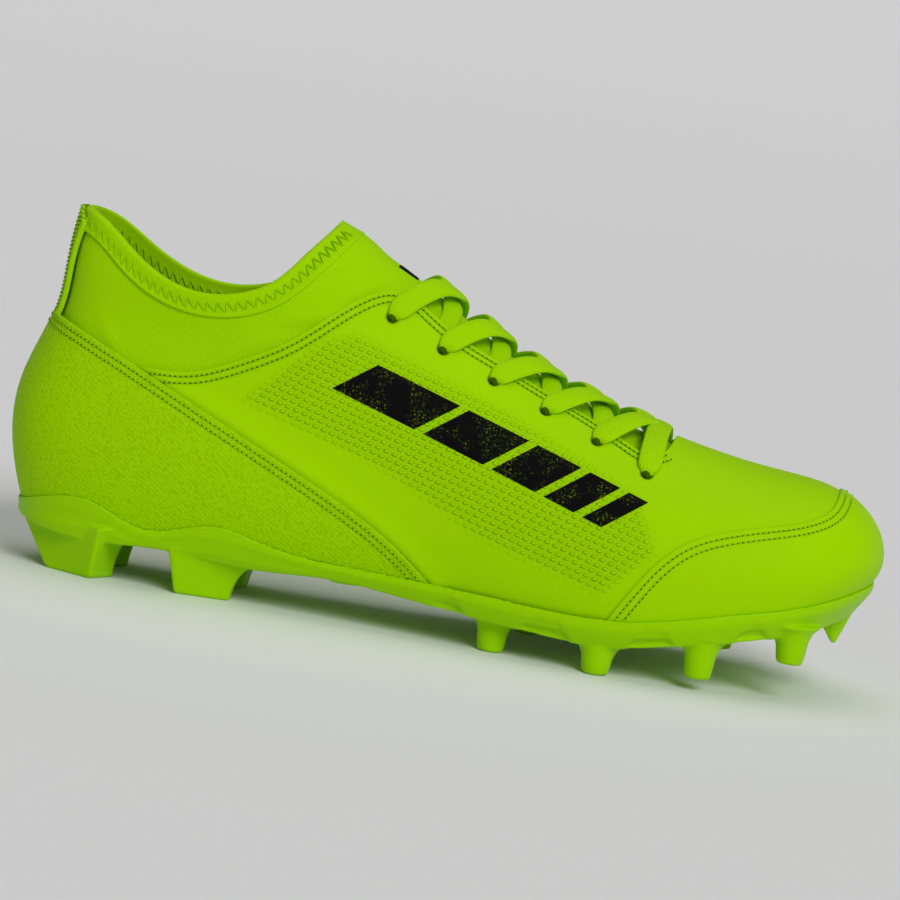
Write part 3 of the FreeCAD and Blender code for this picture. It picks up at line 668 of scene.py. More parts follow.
def knit_material(name):
    sh = Shader(name, (0.355, 0.70, 0.0), roughness=0.72, sheen=0.2, specular=0.05)
    x, y, _ = sh.split(sh.uv())
    rib = sh.math("SINE", sh.plus(sh.times(x, 2 * math.pi / 0.95), sh.times(y, 2 * math.pi / 1.6)))
    sh.add_height(rib, 0.028)
    sh.add_height(sh.wave(y, 0.6), 0.012)
    sh.add_height(sh.noise(70, 2), 0.25)
    # painted shade: the troughs between the ribs are darkened
    sh.shade(sh.ramp(rib, 0.0, -1.0, 0.0, 0.10), (0.2, 0.46, 0.0))
    # painted shade: darker near the piece's top edge, where it rolls over
    sh.shade(sh.ramp(sh.attribute("edge"), 0.0, 0.4, 0.2, 0.0), (0.22, 0.48, 0.0))
    return sh.finish()


TAB_RIB = 1.35


def webbing_material(name):
    """Ribbed tape with smooth folded borders."""
    sh = Shader(name, (0.33, 0.65, 0.0), roughness=0.6, sheen=0.12, specular=0.06)
    x, y, _ = sh.split(sh.uv())
    ribbed = sh.ramp(sh.math("ABSOLUTE", x), 10.4, 10.7, 1.0, 0.0)
    rib = sh.wave(y, TAB_RIB, "COSINE")
    sh.add_height(sh.times(rib, ribbed), 0.12)
    sh.add_height(sh.ramp(sh.math("ABSOLUTE", x), 10.4, 11.0, 0.0, 1.0), 0.3)
    sh.add_height(sh.wave(x, 0.6), 0.05)
    # painted shade: the troughs between the ribs are strongly darkened
    sh.shade(sh.times(sh.ramp(rib, 0.2, -1.0, 0.0, 0.75), ribbed), (0.08, 0.2, 0.0))
    return sh.finish()


def lace_material(name):
    sh = Shader(name, (0.37, 0.72, 0.0), roughness=0.6, sheen=0.15, specular=0.05)
    x, y, _ = sh.split(sh.uv())
    cords = sh.wave(y, 1.05)
    side = sh.times(sh.math("SIGN", cords), 0.5)
    twist = sh.wave(sh.plus(x, sh.times(side, y)), 0.85)
    sh.add_height(cords, 0.045)
    sh.add_height(twist, 0.03)
    # painted shade: the grooves between the cords are darkened
    sh.shade(sh.ramp(cords, -0.3, -1.0, 0.0, 0.16), (0.2, 0.44, 0.0))
    return sh.finish()


def plastic_material(name):
    sh = Shader(name, (0.315, 0.655, 0.0), roughness=0.42, specular=0.1)
    sh.add_height(sh.noise(1500, 2), 0.02)
    sh.add_height(sh.noise(45, 2), 0.1)
    sh.shade(sh.ramp(sh.noise(220, 5), 0.62, 0.8, 0.0, 0.25), (0.22, 0.5, 0.0))
    return sh.finish()


def thread_material(name, dark=False):
    # dark: a near-black colour, used as painted shade in needle holes and eyelet mouths
    colour = (0.05, 0.11, 0.0) if dark else (0.31, 0.62, 0.0)
    sh = Shader(name, colour, roughness=0.6, sheen=0.05, specular=0.05)
    sh.add_height(sh.noise(2500, 2), 0.05)
    return sh.finish()


def print_material(name):
    sh = Shader(name, (0.002, 0.002, 0.002), roughness=0.6, specular=0.05, tint=(1, 1, 1))
    speck = sh.noise(1400, 5, rough=0.75)
    worn = sh.times(sh.ramp(speck, 0.56, 0.62), sh.ramp(sh.noise(120, 3), 0.46, 0.64))
    sh.shade(sh.times(worn, 0.85), (0.26, 0.36, 0.0))
    sh.add_height(speck, 0.05)
    return sh.finish()


def lining_material(name, base=(0.22, 0.48, 0.0)):
    sh = Shader(name, base, roughness=0.85, sheen=0.6, specular=0.15)
    sh.add_height(sh.noise(1100, 4), 0.12)
    weave(sh, sh.uv(), 0.9, 0.9, 0.06)
    return sh.finish()


MATERIALS = {
    "quarter": leather_material("coated_synthetic", dots=True),
    "cap": leather_material("grained_synthetic"),
    "woven": woven_material("coated_weave"),
    "knit": knit_material("ribbed_knit"),
    "webbing": webbing_material("ribbed_webbing"),
    "lace": lace_material("lace_braid"),
    "plastic": plastic_material("moulded_sole"),
    "thread": thread_material("thread"),
    # painted shade for needle holes and eyelet mouths
    "hole": thread_material("thread_shadow", dark=True),
    "print": print_material("printed_film"),
    "lining": lining_material("microfibre"),
    "board": lining_material("fibre_board", (0.55, 0.53, 0.45)),
}


def dress(obj, material, slot, *nodes, bend=True):
    """Gives a piece its finish and hides the CAD nodes it stands for; with bend set its placement is baked into its
    points, otherwise it is hung on the rearfoot body.
    """
    obj.data.materials.clear()
    obj.data.materials.append(MATERIALS[material])
    if nodes:
        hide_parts(*nodes)
    if bend:
        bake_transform(obj)
    else:
        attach(obj, "rearfoot")
    return obj


# ================================================================ upper panels
THROAT_DENSE = ((209, 219.5, 0.15), (88, 99, 0.25))
OPENING = [COLLAR, THROAT]


def both(line, inset, offset, **kw):
    """The same path on the outer and the inner side."""
    return [edge_path(line, side, inset, offset, **kw) for side in (-1, 1)]


QUARTER_ROWS = both(OPENING, 1.8, 0.0, x_range=(40, 216)) + both(OPENING, 4.1, 0.0, x_range=(42, 216))
HEEL_ROWS = both(HEEL_EDGE, 2.0, 0.95, x_range=(2, 147)) + both(HEEL_EDGE, 4.2, 0.95, x_range=(2, 147))
CAP_ROWS = both(CAP_EDGE, 2.2, 0.95) + both(CAP_EDGE, 4.5, 0.95)
HEEL_SEAM = both(HEEL_EDGE, 0.0, 0.0, x_range=(0, 149))

DOT_FIELD = np.array([(77.6, 68.5), (102, 93), (112, 96), (165, 79), (212, 60), (221, 43), (205, 26.7),
                      (162.5, 37.4), (126, 54)], float)


def polygon_distance(points, corners):
    """Signed distance to a polygon in the side view, positive inside."""
    x, z = points[..., 0], points[..., 2]
    inside = np.zeros(x.shape, bool)
    best = np.full(x.shape, 1e9)
    for a, b in zip(corners, np.roll(corners, -1, axis=0)):
        e = b - a
        k = np.clip(((x - a[0]) * e[0] + (z - a[1]) * e[1]) / (e @ e), 0, 1)
        best = np.minimum(best, np.hypot(x - a[0] - k * e[0], z - a[1] - k * e[1]))
        cross = (a[1] > z) != (b[1] > z)
        inside ^= cross & (x < a[0] + (z - a[1]) * e[0] / (e[1] if e[1] else 1e-9))
    return np.where(inside, best, -best)


def groove(paths, depth, width):
    """A relief that pulls the skin in along stitched rows."""
    points = np.concatenate([q[::2] for q, _ in paths])

    def relief(p, side, d):
        gap = near(points, p.reshape(-1, 3)).reshape(p.shape[:-1])
        return -depth * np.exp(-(gap / width) ** 2)
    return relief


def eyelet_frame(side, k):
    x, z = EYELETS[k]
    t, v = solve(side, np.array([x]), np.array([z]))
    return form(side, t, v)[0], normal(side, t, v)[0]


EYELET_AT = {(side, k): eyelet_frame(side, k) for side in (-1, 1) for k in range(len(EYELETS))}
SEAM_POINTS = np.concatenate([q[::3] for q, _ in HEEL_SEAM])


def seam_roll(p):
    """The quarter's edge beside the heel panel is turned over, and stands up as a soft roll."""
    gap = near(SEAM_POINTS, p.reshape(-1, 3)).reshape(p.shape[:-1])
    above = p[..., 2] > HEEL_TOP(p[..., 0])
    return np.where(above, 1.25 * (1 - np.exp(-gap / 0.7)) * np.exp(-(gap / 5.0) ** 2), 0)


def quarter_relief(p, side, d):
    out = groove(QUARTER_ROWS, 0.28, 0.75)(p, side, d) + seam_roll(p)
    for k in range(len(EYELETS)):
        at, _ = EYELET_AT[(side, k)]
        gap = np.linalg.norm(p - at, axis=-1)
        out -= 1.0 * np.exp(-(gap / 2.0) ** 4)
        out += 0.12 * np.exp(-((gap - 3.4) / 1.2) ** 2)
    return out


def add_attribute(obj, name, values):
    layer = obj.data.attributes.new(name, "FLOAT", "POINT")
    layer.data.foreach_set("value", values.astype(np.float32))


def rest_points(obj):
    co = np.empty(len(obj.data.vertices) * 3)
    obj.data.vertices.foreach_get("co", co)
    return co.reshape(-1, 3) * 1000 - SHIFT


quarter = panel("quarter_vamp_shell", UPPER_FOOT, QUARTER_TOP, (-1.1, 0.0), dense=THROAT_DENSE,
                relief=quarter_relief)
rest = rest_points(quarter)
add_attribute(quarter, "dots", np.clip(polygon_distance(rest, DOT_FIELD) / 4 + 0.3, 0, 1))
# eyelet: nearness to an eyelet, which the material paints as shade inside the hole
reach = np.min([np.linalg.norm(rest - at, axis=1) for at, _ in EYELET_AT.values()], axis=0)
add_attribute(quarter, "eyelet", np.exp(-(reach / 2.3) ** 6))
dress(quarter, "quarter", "upper", "quarter_vamp")

heel = panel("heel_textile_panel", UPPER_FOOT, HEEL_TOP, (0.1, 0.95), t_range=(0, t_at(149)),
             relief=groove(HEEL_ROWS, 0.35, 0.8), r_top=0.7)
dress(heel, "woven", "heel_textile", "heel_panel")

cap = panel("toe_cap_overlay", UPPER_FOOT, CAP_TOP, (0.1, 0.95), t_range=(t_at(205), TOE),
            relief=groove(CAP_ROWS, 0.3, 0.8), r_top=0.7, dense=((262, 291, 0.4),))
dress(cap, "cap", "toe_cap", "toe_cap")


def tongue_drop(p):
    """The tongue lies lower than the collar."""
    return -1.4 * smoothstep(p[..., 0], 107, 117)


# Each fold of the sock: its two ends, its width and its height.
CREASES = [((86, 97), (116, 103.5), 2.2, 0.55), ((90, 103), (112, 110), 2.0, 0.35),
           ((80, 92), (100, 95.5), 1.8, -0.4), ((70, 84), (92, 99), 2.6, 0.25),
           ((24, 88), (34, 76), 2.4, 0.35), ((96, 112), (106, 121), 2.0, -0.3)]


def sock_relief(p, side, d):
    """Soft folds where the stretch collar meets the stiffer quarter."""
    out = np.zeros(p.shape[:-1])
    for (xa, za), (xb, zb), wide, high in CREASES:
        e = np.array([xb - xa, zb - za])
        k = np.clip(((p[..., 0] - xa) * e[0] + (p[..., 2] - za) * e[1]) / (e @ e), 0, 1)
        gap = np.hypot(p[..., 0] - xa - k * e[0], p[..., 2] - za - k * e[1])
        out += high * np.exp(-(gap / wide) ** 2) * np.sin(math.pi * (0.15 + 0.7 * k))
    return out


def sock_low(x):
    return np.where(x > 226, 500, SOCK_LOW(x))


def sock_top(x):
    return RIM_TOP(x) - 1.1


sock = panel("collar_and_tongue", sock_low, sock_top, (-3.4, -1.8), dense=THROAT_DENSE, base=tongue_drop,
             t_range=(0, t_at(226)), relief=sock_relief)
dress(sock, "knit", "knit", "collar_sock")


def hem_relief(p, side, d):
    """The folded hem puffs out along its two edges and is drawn in by the zigzag stitch."""
    front = smoothstep(p[..., 0], 86, 100)
    puff = 0.45 * np.exp(-((d - 8.2) / 1.5) ** 2) - 0.3 * np.exp(-((d - 4.8) / 2.2) ** 2)
    return puff * (1 - 0.8 * front) - 0.55 * front


binding = panel("collar_hem", HEM_FOOT, RIM_TOP, (-4.3, -0.9), dense=((86, 112, 0.3),), r_top=1.7, r_low=1.0,
                row_step=0.5, t_range=(0, t_at(112)), relief=hem_relief)
dress(binding, "knit", "knit", "collar_binding", bend=False)


def hem_zigzag(name, offset, flip):
    """The zigzag that holds the folded hem, on one of its faces."""
    legs = []
    for side in (-1, 1):
        rows = [edge_path(RIM, side, inset, offset, x_range=(9.5, 97)) for inset in (6.9, 2.9)]
        ends = np.linspace(0, 1, min(len(q) for q, _ in rows))
        even = [[sampled(ends, np.linspace(0, 1, len(a)), a) for a in row] for row in rows]
        legs += zigzag(*[(q, n * flip) for q, n in even], 3.3)
    dress(whole_stitches(name, legs, radius=0.24, sink=-0.05), "thread", "knit", bend=False)


hem_zigzag("hem_zigzag", -1.15, 1)
hem_zigzag("hem_zigzag_inside", -4.35, -1)

lining = panel("lining_shell", UPPER_FOOT, lambda x: sock_low(x) - 0.3, (-2.6, -1.8),
               step=2, row_step=2)
dress(lining, "lining", "lining", "heel_lining", "vamp_lining")


def strip_solid(name, p, n, low, high, uv):
    """A thin closed piece from a grid of form points: a rounded upper skin, sides and an underside."""
    rows, cols = p.shape[:2]
    edge = np.minimum(np.minimum(np.arange(rows), np.arange(rows)[::-1])[:, None],
                      np.minimum(np.arange(cols), np.arange(cols)[::-1])[None, :])
    lift = high - (high - low) * np.where(edge == 0, 1.0, np.where(edge == 1, 0.28, 0.0))
    top = (p + n * lift[..., None]).reshape(-1, 3)
    under = (p + n * low).reshape(-1, 3)
    faces = []
    for i in range(rows - 1):
        for j in range(cols - 1):
            k = i * cols + j
            quad = (k, k + cols, k + cols + 1, k + 1)
            faces += [quad, tuple(rows * cols + m for m in quad[::-1])]
    uv = uv.reshape(-1, 2)
    return make_mesh(name, np.concatenate([top, under]), faces, np.concatenate([uv, uv]), weld=0.002)


def pull_tab():
    ys = np.concatenate([[-12.4, -12.15, -11.7], np.linspace(-11.2, 11.2, 44), [11.7, 12.15, 12.4]])
    zs = np.concatenate([[77, 77.3], np.linspace(77.8, 120.0, 220), [120.5, 120.8, 121.0]])
    z, y = np.meshgrid(zs, ys, indexing="ij")
    z = 77 + (z - 77) * (1 - 0.00085 * y * y)
    p, n = np.zeros(z.shape + (3,)), np.zeros(z.shape + (3,))
    for side, mask in ((-1, y <= 0), (1, y > 0)):
        t, v = solve(side, y[mask], z[mask], axes=(1, 2))
        p[mask], n[mask] = form(side, t, v), normal(side, t, v)
    ribbed = 1 - smoothstep(np.abs(y), 10.3, 10.8)
    p = p + n * (0.26 * ribbed * np.cos(2 * math.pi * z / TAB_RIB))[..., None]
    return strip_solid("pull_tab", p, n, -0.8, 0.75, np.stack([y, z], -1))


dress(pull_tab(), "webbing", "webbing", "heel_pull_tab", bend=False)


def stitched(name, rows, slot):
    """Each row as raised thread, with a dark pit of painted shade at each needle hole between stitches."""
    dress(threads(name, rows), "thread", slot)
    # painted shade: dark pits where the needle holes are
    hole_shade = threads(name + "_holes", rows, length=0.55, radius=0.27, sink=0.13, start=1.68, around=8, rings=5)
    dress(hole_shade, "hole", slot)


stitched("quarter_stitching", [(q + n * seam_roll(q)[:, None], n) for q, n in QUARTER_ROWS], "upper")
stitched("heel_stitching", HEEL_ROWS, "heel_textile")
stitched("cap_stitching", CAP_ROWS, "toe_cap")


# ================================================================ printed marks
DASHES, DASH_GAP = [30, 22, 16, 11, 7], 3.2


def side_print():
    """A generic mark: a slanted bar broken into shorter and shorter dashes."""
    (xa, za), (xb, zb) = (113.6, 82.0), (208.1, 53.3)
    length = math.hypot(xb - xa, zb - za)
    along, across = np.array([xb - xa, zb - za]) / length, np.array([za - zb, xb - xa]) / length
    run, pieces = 0.0, []
    for k, dash in enumerate(DASHES):
        ss = np.concatenate([[0, 0.12], np.linspace(0.4, dash - 0.4, int(dash / 0.8)), [dash - 0.12, dash]])
        hs = np.concatenate([[-1, -0.98], np.linspace(-0.94, 0.94, 17), [0.98, 1]])
        s_, h_ = np.meshgrid(ss, hs, indexing="ij")
        xz = np.array([xa, za]) + along * (run + s_ + h_ * 5.0)[..., None] + across * (h_ * 6.6)[..., None]
        t, v = solve(-1, xz[..., 0], xz[..., 1], v_start=3.6)
        p, n = form(-1, t, v), normal(-1, t, v)
        pieces.append(strip_solid("side_print_%d" % k, p, n, 0.04, 0.26, np.stack([run + s_, h_ * 6.6], -1)))
        run += dash + DASH_GAP
    return pieces


def tongue_print():
    corners = np.array([(120, -5), (127.5, -3), (127.5, 4.5), (120, 2.5)], float)
    a, b = np.meshgrid(np.linspace(0, 1, 14), np.linspace(0, 1, 12), indexing="ij")
    a, b = a[..., None], b[..., None]
    xy = (corners[0] * (1 - b) + corners[3] * b) * (1 - a) + (corners[1] * (1 - b) + corners[2] * b) * a
    p, n = np.zeros(xy.shape[:2] + (3,)), np.zeros(xy.shape[:2] + (3,))
    for i in range(xy.shape[0]):
        for j in range(xy.shape[1]):
            p[i, j], n[i, j] = over_form(*xy[i, j])
    return strip_solid("tongue_print", p, n, -3.3, -3.0, xy)


def joined(name, pieces):
    """One object from several."""
    bpy.ops.object.select_all(action="DESELECT")
    for piece in pieces:
        piece.select_set(True)
    bpy.context.view_layer.objects.active = pieces[0]
    bpy.ops.object.join()
    pieces[0].name = name
    return pieces[0]


# ================================================================ lace
# Heights of the lace's centre line above the form, its two section sizes and its lean toward the toe.
OVER, UNDER, ARCH, CROSS_LOW, CROSS_HIGH = 1.35, -2.55, 2.9, -1.4, 1.5
LACE_FLAT, LACE_PINCHED, LACE_TUCKED_HALF = np.array([7.9, 2.1]), np.array([3.0, 1.7]), 0.5
LACE_LEAN = 7.5
LAST = len(EYELETS) - 1


def over_form(x, y):
    """The form's point and normal seen from above."""
    middle = form(1, t_at(x), CROWN)[1]
    side = -1 if y < middle else 1
    t, v = solve(side, np.array([x]), np.array([y]), axes=(0, 1), v_start=5.0)
    return form(side, t, v)[0], normal(side, t, v)[0]


def hole_turn(hole, arrive, leave):
    """The lace's way over the eyestay, in at an eyelet and back under it."""
    inward, outward = unit(arrive - hole[:2]), unit(leave[:2] - hole[:2])
    turn = []
    for r, o, w in ((5.5, OVER + 0.35, 1.0), (3.0, OVER, 1.0), (1.2, OVER - 0.25, 0.75), (0.0, -0.1, 0.1)):
        turn.append((*(hole[:2] + inward * r), o, w))
    for r, o, w in ((0.3, -1.6, 0.0), (2.2, UNDER, 0.2), (5.0, UNDER, 0.6)):
        turn.append((*(hole[:2] + outward * r), o, w))
    return turn


def lace_route():
    """The whole lace as (x, y, height, share of its full width), from one tucked end to the other."""
    halves = {}
    for first in (-1, 1):
        route, side = [], first
        hole, other = EYELET_AT[(side, LAST)][0], EYELET_AT[(-side, LAST)][0]
        middle = (hole + other) / 2
        for share in (0.0, 0.3, 0.6):
            route.append((*(middle + (hole - middle) * share)[:2], OVER + 0.6, 1.0))
        for k in range(LAST, 0, -1):
            hole, target = EYELET_AT[(side, k)][0], EYELET_AT[(-side, k - 1)][0]
            across = CROSS_LOW if side < 0 else CROSS_HIGH
            route += hole_turn(hole, np.array(route[-1][:2]), target)
            steps = [(0.24, UNDER, 0.7), (0.33, (UNDER + across) / 2, 1.0), (0.43, across, 1.0),
                     (0.5, across + 0.1, 1.0), (0.58, across + 0.5, 1.0), (0.68, ARCH, 1.0), (0.78, ARCH, 1.0)]
            for share, offset, wide in steps:
                at = hole + (target - hole) * share
                route.append((at[0] + LACE_LEAN * math.sin(math.pi * share), at[1], offset, wide))
            side = -side
        hole = EYELET_AT[(side, 0)][0]
        route += hole_turn(hole, np.array(route[-1][:2]), np.array([hole[0] + 3, 0.0, 0.0]))
        halves[first] = route
    return halves[-1][::-1] + halves[1][1:]


def spline(poles, n):
    """Samples a clamped uniform cubic B-spline."""
    m = len(poles)
    knots = np.concatenate([[0] * 3, np.arange(m - 2), [m - 3] * 3]).astype(float)
    u = np.linspace(0, m - 3 - 1e-9, n)
    span = np.floor(u).astype(int) + 3
    out = np.zeros((n, poles.shape[1]))
    for i in range(n):
        d = [poles[span[i] - 3 + j].astype(float) for j in range(4)]
        for r in range(1, 4):
            for j in range(3, r - 1, -1):
                lo, hi = knots[j + span[i] - 3], knots[j + 1 + span[i] - r]
                a = (u[i] - lo) / (hi - lo)
                d[j] = (1 - a) * d[j - 1] + a * d[j]
        out[i] = d[3]
    return out


def build_lace():
    centres, ups, shares, tucked = [], [], [], []
    for x, y, offset, share in lace_route():
        p, n = over_form(x, y)
        centres.append(p + n * offset)
        ups.append(n)
        shares.append(share)
        tucked.append(1.0 if offset <= UNDER + 0.1 else 0.0)
    centres, ups, shares, tucked = np.array(centres), np.array(ups), np.array(shares), np.array(tucked)
    tangent = unit(np.gradient(centres, axis=0))
    wide = np.cross(ups, tangent)
    pinch = shares < 0.5
    wide[pinch] = np.array([1.0, 0, 0]) - tangent[pinch] * tangent[pinch][:, :1]
    wide = unit(wide)
    for i in range(1, len(wide)):
        if wide[i] @ wide[i - 1] < 0:
            wide[i] = -wide[i]
    half_w, half_h = (LACE_PINCHED[:, None] + (LACE_FLAT - LACE_PINCHED)[:, None] * shares) / 2
    half_h = np.where(tucked > 0, LACE_TUCKED_HALF, half_h)
    n = int(len(centres) * 9 * DETAIL)
    rows = spline(np.concatenate([centres, wide, half_w[:, None], half_h[:, None]], axis=1), n)
    c, w, hw, hh = rows[:, :3], rows[:, 3:6], rows[:, 6], rows[:, 7]
    t = unit(np.gradient(c, axis=0))
    w = unit(w - t * (w * t).sum(1, keepdims=True))
    h = np.cross(t, w)
    around = 24
    angle = np.arange(around) * 2 * math.pi / around
    ca, sa = np.cos(angle), np.sin(angle)
    shape_w = np.sign(ca) * np.abs(ca) ** 0.85
    shape_h = np.sign(sa) * np.abs(sa) ** 0.85
    pts = c[:, None] + w[:, None] * (shape_w[None, :] * hw[:, None])[..., None] \
        + h[:, None] * (shape_h[None, :] * hh[:, None])[..., None]
    uv = np.stack([np.repeat(travelled(c)[:, None], around, 1), shape_w[None, :] * hw[:, None]], -1)
    faces = tube_faces(n, around) + [tuple(range(around)), tuple(range((n - 1) * around, n * around))]
    return make_mesh("flat_lace", pts.reshape(-1, 3), faces, uv.reshape(-1, 2), weld=0)


dress(joined("side_print", side_print()), "print", "graphic", "side_graphic")
dress(tongue_print(), "print", "graphic", "tongue_graphic")
dress(build_lace(), "lace", "lace", "lace")


def eyelet_shadows():
    """A dark disc of painted shade in the mouth of each eyelet, seen below the tip of the lace that goes into it."""
    paths = []
    for (side, _), (at, n) in EYELET_AT.items():
        down = np.array([-0.5, side * 0.35, -0.8])
        down = unit(down - n * (down @ n))
        paths.append((np.array([at - down * 0.4, at + down * 0.6, at + down * 1.6]), np.array([n, n, n])))
    return whole_stitches("eyelet_mouth_shade", paths, radius=1.55, sink=1.45, around=20, rings=15)


dress(eyelet_shadows(), "hole", "upper")


# ================================================================ outsole
STUDS = [(171, -28.5, 0), (178, 24, 0), (206.5, -37.5, 0), (239.5, -36.5, 4.2), (268, -27, 12.6),
         (211, 38, 0), (243, 36, 4.6), (269, 25, 12.8)]
REAR_FOOT = [(18.2, -16.5), (35.8, -25.8), (41.5, -13.5), (26, -8.5)]
REAR_ROOT = [(4.6, -7.5), (37.5, -31.5), (52, -24), (26, -1)]
REAR_STYLE = "llal"
FRONT_FOOT = [(63.8, -25), (82.3, -21.5), (81.5, -9.0), (65.2, -11)]
FRONT_ROOT = [(60.5, -29.5), (97, -28.5), (95, -7), (62.5, -6)]
FRONT_STYLE = "laal"
TOE_ROOT = [(287, 3.5), (279, -5.0), (271, -5.5), (275, 3.5), (271, 12.5), (279, 12.0)]
RIB_FOOT = [(116, -27.5), (124, -27), (124, -12), (116, -12)]
RIB_ROOT = [(108, -30), (132, -30), (132, -9), (108, -9)]
FLARE = 8.0


def sole_offset(p, side, share):
    """How far the sole's outer wall stands off the form: pods over the studs, undercuts between them."""
    out = 2.9 - 1.0 * smoothstep(share, 0.72, 1.0)
    x = p[..., 0]
    heel_scoop = smoothstep(x, -30, 0) * (1 - smoothstep(x, 42, 56))
    out -= 0.75 * heel_scoop * np.sin(math.pi * np.clip((share - 0.35) / 0.65, 0, 1))
    mid_scoop = smoothstep(x, 52, 62) * (1 - smoothstep(x, 95, 130))
    out -= 0.45 * mid_scoop * np.sin(math.pi * np.clip((share - 0.3) / 0.7, 0, 1))
    between = smoothstep(x, 150, 156) * (1 - smoothstep(x, 276, 281))
    for sx, sy, _ in STUDS:
        if sy * side > 0:
            wide = 8.6 + 5.5 * share
            between = between * smoothstep(np.abs(x - sx) - wide, -0.3, 1.2)
    floor = LASTING_LOW(x)
    low = 1 - smoothstep(p[..., 2], floor - 0.6, floor + 0.5)
    out -= between * (1.5 * low + 0.4 * (1 - low) * (1 - smoothstep(share, 0.6, 0.95)))
    out += 1.3 * between * np.exp(-((share - 0.03) / 0.06) ** 2)
    return out


def sole_shell():
    """The plate and flange as closed rings across the boot, one for each column."""
    ts = columns(0.8)
    rings = {}
    rows = 30
    for side in (-1, 1):
        top, _ = crossing(side, ts, FLANGE_TOP)
        low, _ = crossing(side, ts, PLATE_LOW)
        share = np.linspace(0, 1, rows)
        v = low[:, None] + (top - low)[:, None] * share
        t = np.repeat(ts[:, None], rows, 1)
        p, n = form(side, t, v), normal(side, t, v)
        outer = sole_offset(p, side, np.repeat(share[None, :], len(ts), 0))
        rings[side, "out"] = p + n * outer[..., None]
        floor, _ = crossing(side, ts, LASTING_LOW)
        v = floor[:, None] + (top - floor)[:, None] * share
        p, n = form(side, t, v), normal(side, t, v)
        rings[side, "in"] = p + n * 0.9
    a, b = rings[-1, "out"], rings[1, "out"]
    across = np.linspace(0, 1, 26)[1:-1]
    bottom = a[:, :1] + (b[:, :1] - a[:, :1]) * across[None, :, None]
    # a shallow channel runs down the middle of the sole, with a raised keel under the arch
    x = bottom[..., 0]
    middle = np.exp(-((across - 0.5) / 0.2) ** 2)[None, :]
    keel = 1.9 * middle * smoothstep(x, 92, 108) * (1 - smoothstep(x, 160, 178))
    bottom[..., 2] += 1.0 * np.sin(math.pi * across)[None, :] - keel
    central = (np.abs(across - 0.5) < 0.27)[None, :]
    ribs = (np.abs(((x - 186) % 9.0) - 4.5) < 1.1) & (x > 186) & (x < 262) & central
    bottom[..., 2] -= np.where(ribs, 0.9, 0)
    c, d = rings[-1, "in"], rings[1, "in"]
    floor = d[:, :1] + (c[:, :1] - d[:, :1]) * across[None, :, None]
    loop = np.concatenate([a[:, ::-1], bottom, b, d[:, ::-1], floor, c], axis=1)
    return rings_solid(list(loop))


def rings_solid(rings):
    """A closed solid through equal rings of points."""
    n, last = len(rings[0]), len(rings) - 1
    caps = [tuple(range(n)), tuple(range(last * n, (last + 1) * n))[::-1]]
    return np.concatenate(rings), tube_faces(len(rings), n) + caps


def stud(x, y, tip, around=48):
    """A round stud whose root sweeps out into the sole, but stays flush with the sole's outer wall."""
    side = -1 if y < 0 else 1
    ts = columns(1.5)
    low, _ = crossing(side, ts, PLATE_LOW)
    wall = form(side, ts, low)
    k = np.argmin(np.hypot(wall[:, 0] - x, wall[:, 1] - y))
    outward = unit(normal(side, ts[k:k + 1], low[k:k + 1])[0, :2])
    root = float(PLATE_LOW(x)) + 0.6
    angle = np.arange(around) * 2 * math.pi / around
    circle = np.stack([np.cos(angle), np.sin(angle)], -1)
    rings = []

    def ring(r, z, shift=0.0):
        xy = np.array([x, y]) + circle * r - outward * shift
        rings.append(np.concatenate([xy, np.full((around, 1), z)], axis=1))
    for r, dz in ((3.3, 0.0), (3.95, 0.12), (4.3, 0.5), (4.45, 1.1)):
        ring(r, tip + dz)
    for f in np.linspace(0.2, 1.0, 5)[:-1]:
        ring(4.45 + 0.55 * f, tip + 1.1 + (root - FLARE - tip - 1.1) * f)
    for f in np.linspace(0, 1, 12):
        grow = FLARE * (1 - math.sqrt(max(1 - f * f, 0.0)))
        ring(5.0 + grow, root - FLARE + FLARE * f, shift=grow * 0.75)
    ring(5.0 + FLARE, root + 1.2, shift=FLARE * 0.75)
    return rings_solid(rings)


LOFT_STEPS = 16


def lofted(foot, root, z0, z1, side, style, r=1.3):
    """A blade between two outlines. A corner marked l runs straight to its root, one marked a in an arc."""
    foot, root = np.array(foot, float), np.array(root, float)

    def rounded_ring(corners, n=6):
        out = []
        for i in range(len(corners)):
            a, b, c = corners[i - 1], corners[i], corners[(i + 1) % len(corners)]
            u, w = unit(a - b), unit(c - b)
            for k in range(n):
                f = k / (n - 1)
                out.append((b + u * r) * (1 - f) ** 2 + b * 2 * f * (1 - f) + (b + w * r) * f ** 2)
        return np.array(out)
    rings = []
    for i in range(LOFT_STEPS + 1):
        f = i / LOFT_STEPS
        share = np.array([f if mark == "l" else 1 - math.sqrt(max(1 - f * f, 0)) for mark in style])[:, None]
        ring = rounded_ring(foot * (1 - share) + root * share)
        centre = ring.mean(0)
        levels = [(z0 + (z1 - z0) * f, 1.0)]
        if i == 0:
            levels = [(z0, 0.93), (z0 + 0.3, 0.985), (z0 + 0.7, 1.0)]
        for z, grow in levels:
            xy = centre + (ring - centre) * grow
            rings.append(np.stack([xy[:, 0], -side * xy[:, 1], np.full(len(xy), z)], -1))
    return rings_solid(rings)


